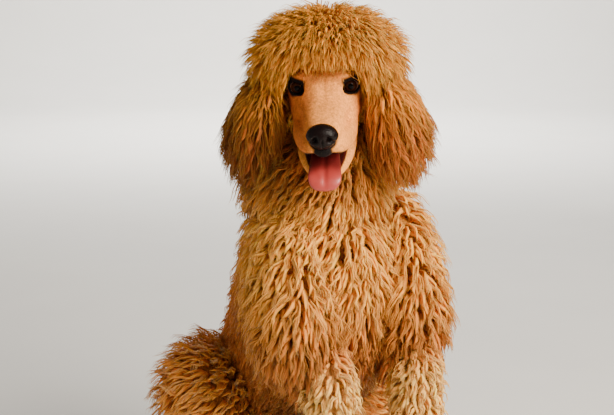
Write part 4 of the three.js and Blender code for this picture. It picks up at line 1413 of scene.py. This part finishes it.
def trimmed_at_face(lines, draw):
    """Locks that would hang before the face end about where they reach its window: each is drawn in
    towards its root to 0.75 of the share of its length that lies outside, or more by chance, and most
    so in the middle of the fringe. Also tells which are left."""
    samples = lines.shape[1]
    inside = in_window(to_head(lines.reshape(-1, 3)).reshape(lines.shape))
    first = np.where(inside.any(1), inside.argmax(1), samples)
    fringe = np.abs(to_head(lines[:, 0])[:, 0]) < FRINGE_HALF_WIDTH
    looser = np.where(first < samples, 0.75 + np.where(fringe, 0.55, 0.25) * draw.random(len(lines)), 1.1)
    share = np.clip((first - 1) / (samples - 1) * looser, 0, 1)
    start = lines[:, :1]
    return start + (lines - start) * share[:, None, None], share > 0.25


def grow_layer(name, layer, roots, outs, colours, draw):
    """One layer of locks as tubes: a flat lock in the middle where it has a radius, and strands."""
    names, index, place, angle, length = nearest_form(roots)
    flow, fall = lie_of_coat(roots, outs, name, draw)
    long = np.maximum(length, layer["floor"]) * layer["longer"] * (0.9 + 0.2 * draw.random(len(roots)))
    stand = layer["stand"] * fullness(name, outs, place)
    lines = lock_paths(roots, outs, flow, fall, long, draw, stand, layer)
    keep = np.ones(len(lines), bool)
    if name not in UNTRIMMED:
        lines, keep = trimmed_at_face(lines, draw)
    colour = markings_with_painted_shade(roots, names, colours) * (1 + 0.06 * draw.standard_normal(len(roots)))[:, None]
    unwrap = unwrapped(index, place, angle)
    lines, outs, colour, unwrap = lines[keep], outs[keep], colour[keep], unwrap[keep]
    tufts = []
    if layer["radius"]:
        # the middle locks carry painted light, brighter than the strands
        width = layer["radius"] * (0.75 + 0.5 * draw.random(len(lines)))
        tufts.append(Tuft(lines, outs, width, colour * MIDDLE_LOCK_PAINTED_LIGHT, unwrap, draw, 0.05,
                          MIDDLE_LOCK_TWIST))
    if layer["strands"]:
        paths, owner = strand_paths(lines, outs, draw, layer)
        thickness = layer["thin"] * (0.55 + 0.9 * draw.random(len(paths)))
        tufts.append(Tuft(paths, outs[owner], thickness, colour[owner], unwrap[owner], draw, layer["vary"]))
    return tufts


def region_bounds(forms):
    """A box in the dog's frame round the forms of one region, with room to spare."""
    middles = []
    for name, (stations, in_head) in coat_forms().items():
        if name in forms:
            at = np.array(stations, float)[:, :3]
            middles.append(from_head(at) if in_head else at)
    middles = np.vstack(middles)
    return middles.min(0) - REGION_ROOM, middles.max(0) + REGION_ROOM


class POODLE_OT_coat(bpy.types.Operator):
    """Grows the curly coat of the head, body, legs and tail over the skin"""
    bl_idname = "poodle.coat"
    bl_label = "Coat"

    def execute(self, context):
        colours = context.scene.poodle.colours
        places, normals, triangles = mesh_arrays(bpy.data.objects["skin"].data)
        points = unpacked(places)
        middle = points[triangles].mean(1)
        material = coat_material()
        draw = np.random.default_rng(7)
        for name, forms, node, kind, share in COAT_PIECES:

            def grows_here(at):
                here = coat_allowed(at, kind, share)
                return here if kind in FREE_OF_FORMS else here & np.isin(nearest_form(at)[0], forms)

            low, high = region_bounds(forms)
            near = triangles[((middle > low) & (middle < high)).all(1)]
            tufts = []
            for layer in COAT_LAYERS[kind]:
                layer = {**PLAIN_LAYER, **layer}
                spacing = layer["spacing"] * COAT_SPARSE.get(name, 1.0)
                roots, outs = scattered(points, normals, near, spacing, draw, grows_here)
                tufts += grow_layer(name, layer, roots, outs, colours, draw)
            piece = coat_object("coat_" + name, tufts, material)
            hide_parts(node)
        return {"FINISHED"}


# The stage

BROW_PIXEL = (323.9, 86.7)  # where the point between the eyes shows in the picture
SENSOR = 36.0
CHEST_AT = np.array([0.0, 0.0, 0.45])
# Each light: metres to the right, forward and up from the chest as the camera looks, metres forward to
# what it lights, the setting of its power and its share of that, its width, and its colour
LIGHTS = {
    "key": ((1.65, -1.8, 1.0), 0.0, "key_power", 1.0, 1.6, (1.0, 0.92, 0.8)),
    "fill": ((-1.9, -1.2, 0.5), 0.0, "fill_power", 1.0, 1.6, (1.0, 0.95, 0.9)),
    "rim": ((0.8, 1.8, 1.4), 0.0, "fill_power", 2.5, 1.2, (1.0, 0.95, 0.88)),
    "backdrop": ((0.0, 5.5, 3.4), 6.5, "backdrop_power", 1.0, 3.0, (1.0, 0.98, 0.95)),
}
FLOOR_DEPTH = 0.0002  # how far the floor lies below the dog's soles, in metres


def camera_axes(azimuth, downward):
    """Right, up and forward of a camera that stands at an azimuth and looks down by an angle."""
    forward = -np.array([math.sin(azimuth) * math.cos(downward), -math.cos(azimuth) * math.cos(downward),
                         math.sin(downward)])
    right = np.array([math.cos(azimuth), math.sin(azimuth), 0.0])
    return right, np.cross(right, forward), forward


def placed(right, up, back, at):
    """The matrix of a camera or a light with these axes at this place."""
    return Matrix([[right[i], up[i], back[i], at[i]] for i in range(3)] + [[0, 0, 0, 1]])


def area_light(name, at, target, power, size, colour):
    """A square soft light that looks from one place at another."""
    light = bpy.data.lights.new(name, "AREA")
    light.energy, light.size, light.color = power, size, colour
    lamp = bpy.data.objects.new(name, light)
    bpy.context.scene.collection.objects.link(lamp)
    away = unit(at - target)
    right = unit(np.cross((0, 0, 1), away))
    lamp.matrix_world = placed(right, np.cross(away, right), away, at)


def sweep_surface(radius=9.0, wall=2.6, bend=2.0, around=96):
    """A round floor that bends up into a low wall: the profile runs out along the floor, then up a
    quarter circle, then straight up, and is turned about the upright."""
    quarter = np.linspace(0, math.pi / 2, 48)
    out = np.concatenate([[2.0, 5.0], radius - bend + bend * np.sin(quarter), [radius]])[:, None]
    up = np.concatenate([[0.0, 0.0], bend - bend * np.cos(quarter), [wall]])[:, None] - FLOOR_DEPTH
    angle = np.linspace(0, TAU, around, endpoint=False)
    ring = np.stack([out * np.cos(angle), out * np.sin(angle), up + 0 * angle], -1)
    points = np.vstack([[[0, 0, -FLOOR_DEPTH]], ring.reshape(-1, 3)])
    body = np.arange(len(out) * around).reshape(len(out), around) + 1
    facing_up = np.roll(quads_between(body)[:, ::-1], 1, 1)
    return points, facing_up, np.stack([np.zeros(around, int), body[0], np.roll(body[0], -1)], -1)


class POODLE_OT_stage(bpy.types.Operator):
    """Sets up the floor, the soft lights and the camera"""
    bl_idname = "poodle.stage"
    bl_label = "Stage"

    def execute(self, context):
        stage = context.scene.poodle.stage
        right, up, forward = camera_axes(stage.azimuth, stage.downward)
        pixels = stage.focal / SENSOR * IMAGE_WIDTH
        ray = unit(forward * pixels + right * (BROW_PIXEL[0] - IMAGE_WIDTH / 2)
                   + up * (IMAGE_HEIGHT / 2 - BROW_PIXEL[1]))
        camera = bpy.data.objects.new("camera", bpy.data.cameras.new("camera"))
        camera.data.lens, camera.data.sensor_width = stage.focal, SENSOR
        context.scene.collection.objects.link(camera)
        between_eyes = packed(np.array([HEAD_AT], float))[0]
        camera.matrix_world = placed(right, up, -forward, between_eyes - ray * stage.distance)
        context.scene.camera = camera
        for name, ((aside, ahead, high), lit, setting, share, size, colour) in LIGHTS.items():
            at = CHEST_AT + right * aside + forward * ahead + np.array([0, 0, high])
            area_light(name, at, CHEST_AT + forward * lit, getattr(stage, setting) * share, size, colour)
        world = bpy.data.worlds.new("room")
        context.scene.world = world
        world.use_nodes = True
        background = world.node_tree.nodes["Background"]
        background.inputs["Color"].default_value = (1.0, 0.98, 0.95, 1)
        background.inputs["Strength"].default_value = stage.sky
        floor = new_object("floor", *sweep_surface())
        floor.data.materials.append(floor_material(stage.floor_colour))
        return {"FINISHED"}


class POODLE_PT_panel(bpy.types.Panel):
    """Lists the poodle's pieces and its sizes and colours"""
    bl_idname = "POODLE_PT_panel"
    bl_label = "Standard poodle"
    bl_space_type = "VIEW_3D"
    bl_region_type = "UI"
    bl_category = "Poodle"

    def draw(self, context):
        settings = context.scene.poodle
        for operator in OPERATORS:
            self.layout.operator(operator.bl_idname)
        for group in (settings.colours, settings.skin, settings.stage):
            box = self.layout.box()
            for name in group.__annotations__:
                box.prop(group, name)


OPERATORS = (POODLE_OT_skin, POODLE_OT_eyes, POODLE_OT_nose, POODLE_OT_tongue, POODLE_OT_claws,
             POODLE_OT_coat, POODLE_OT_stage)
CLASSES = (PoodleColours, PoodleSkin, PoodleStage, PoodleSettings, *OPERATORS, POODLE_PT_panel)


def register():
    for kind in CLASSES:
        bpy.utils.register_class(kind)
    bpy.types.Scene.poodle = bpy.props.PointerProperty(type=PoodleSettings)


def unregister():
    del bpy.types.Scene.poodle
    for kind in reversed(CLASSES):
        bpy.utils.unregister_class(kind)


def main():
    register()
    bpy.ops.poodle.skin()
    bpy.ops.poodle.eyes()
    bpy.ops.poodle.nose()
    bpy.ops.poodle.tongue()
    bpy.ops.poodle.claws()
    bpy.ops.poodle.coat()
    bpy.ops.poodle.stage()


if __name__ == "__main__":
    main()
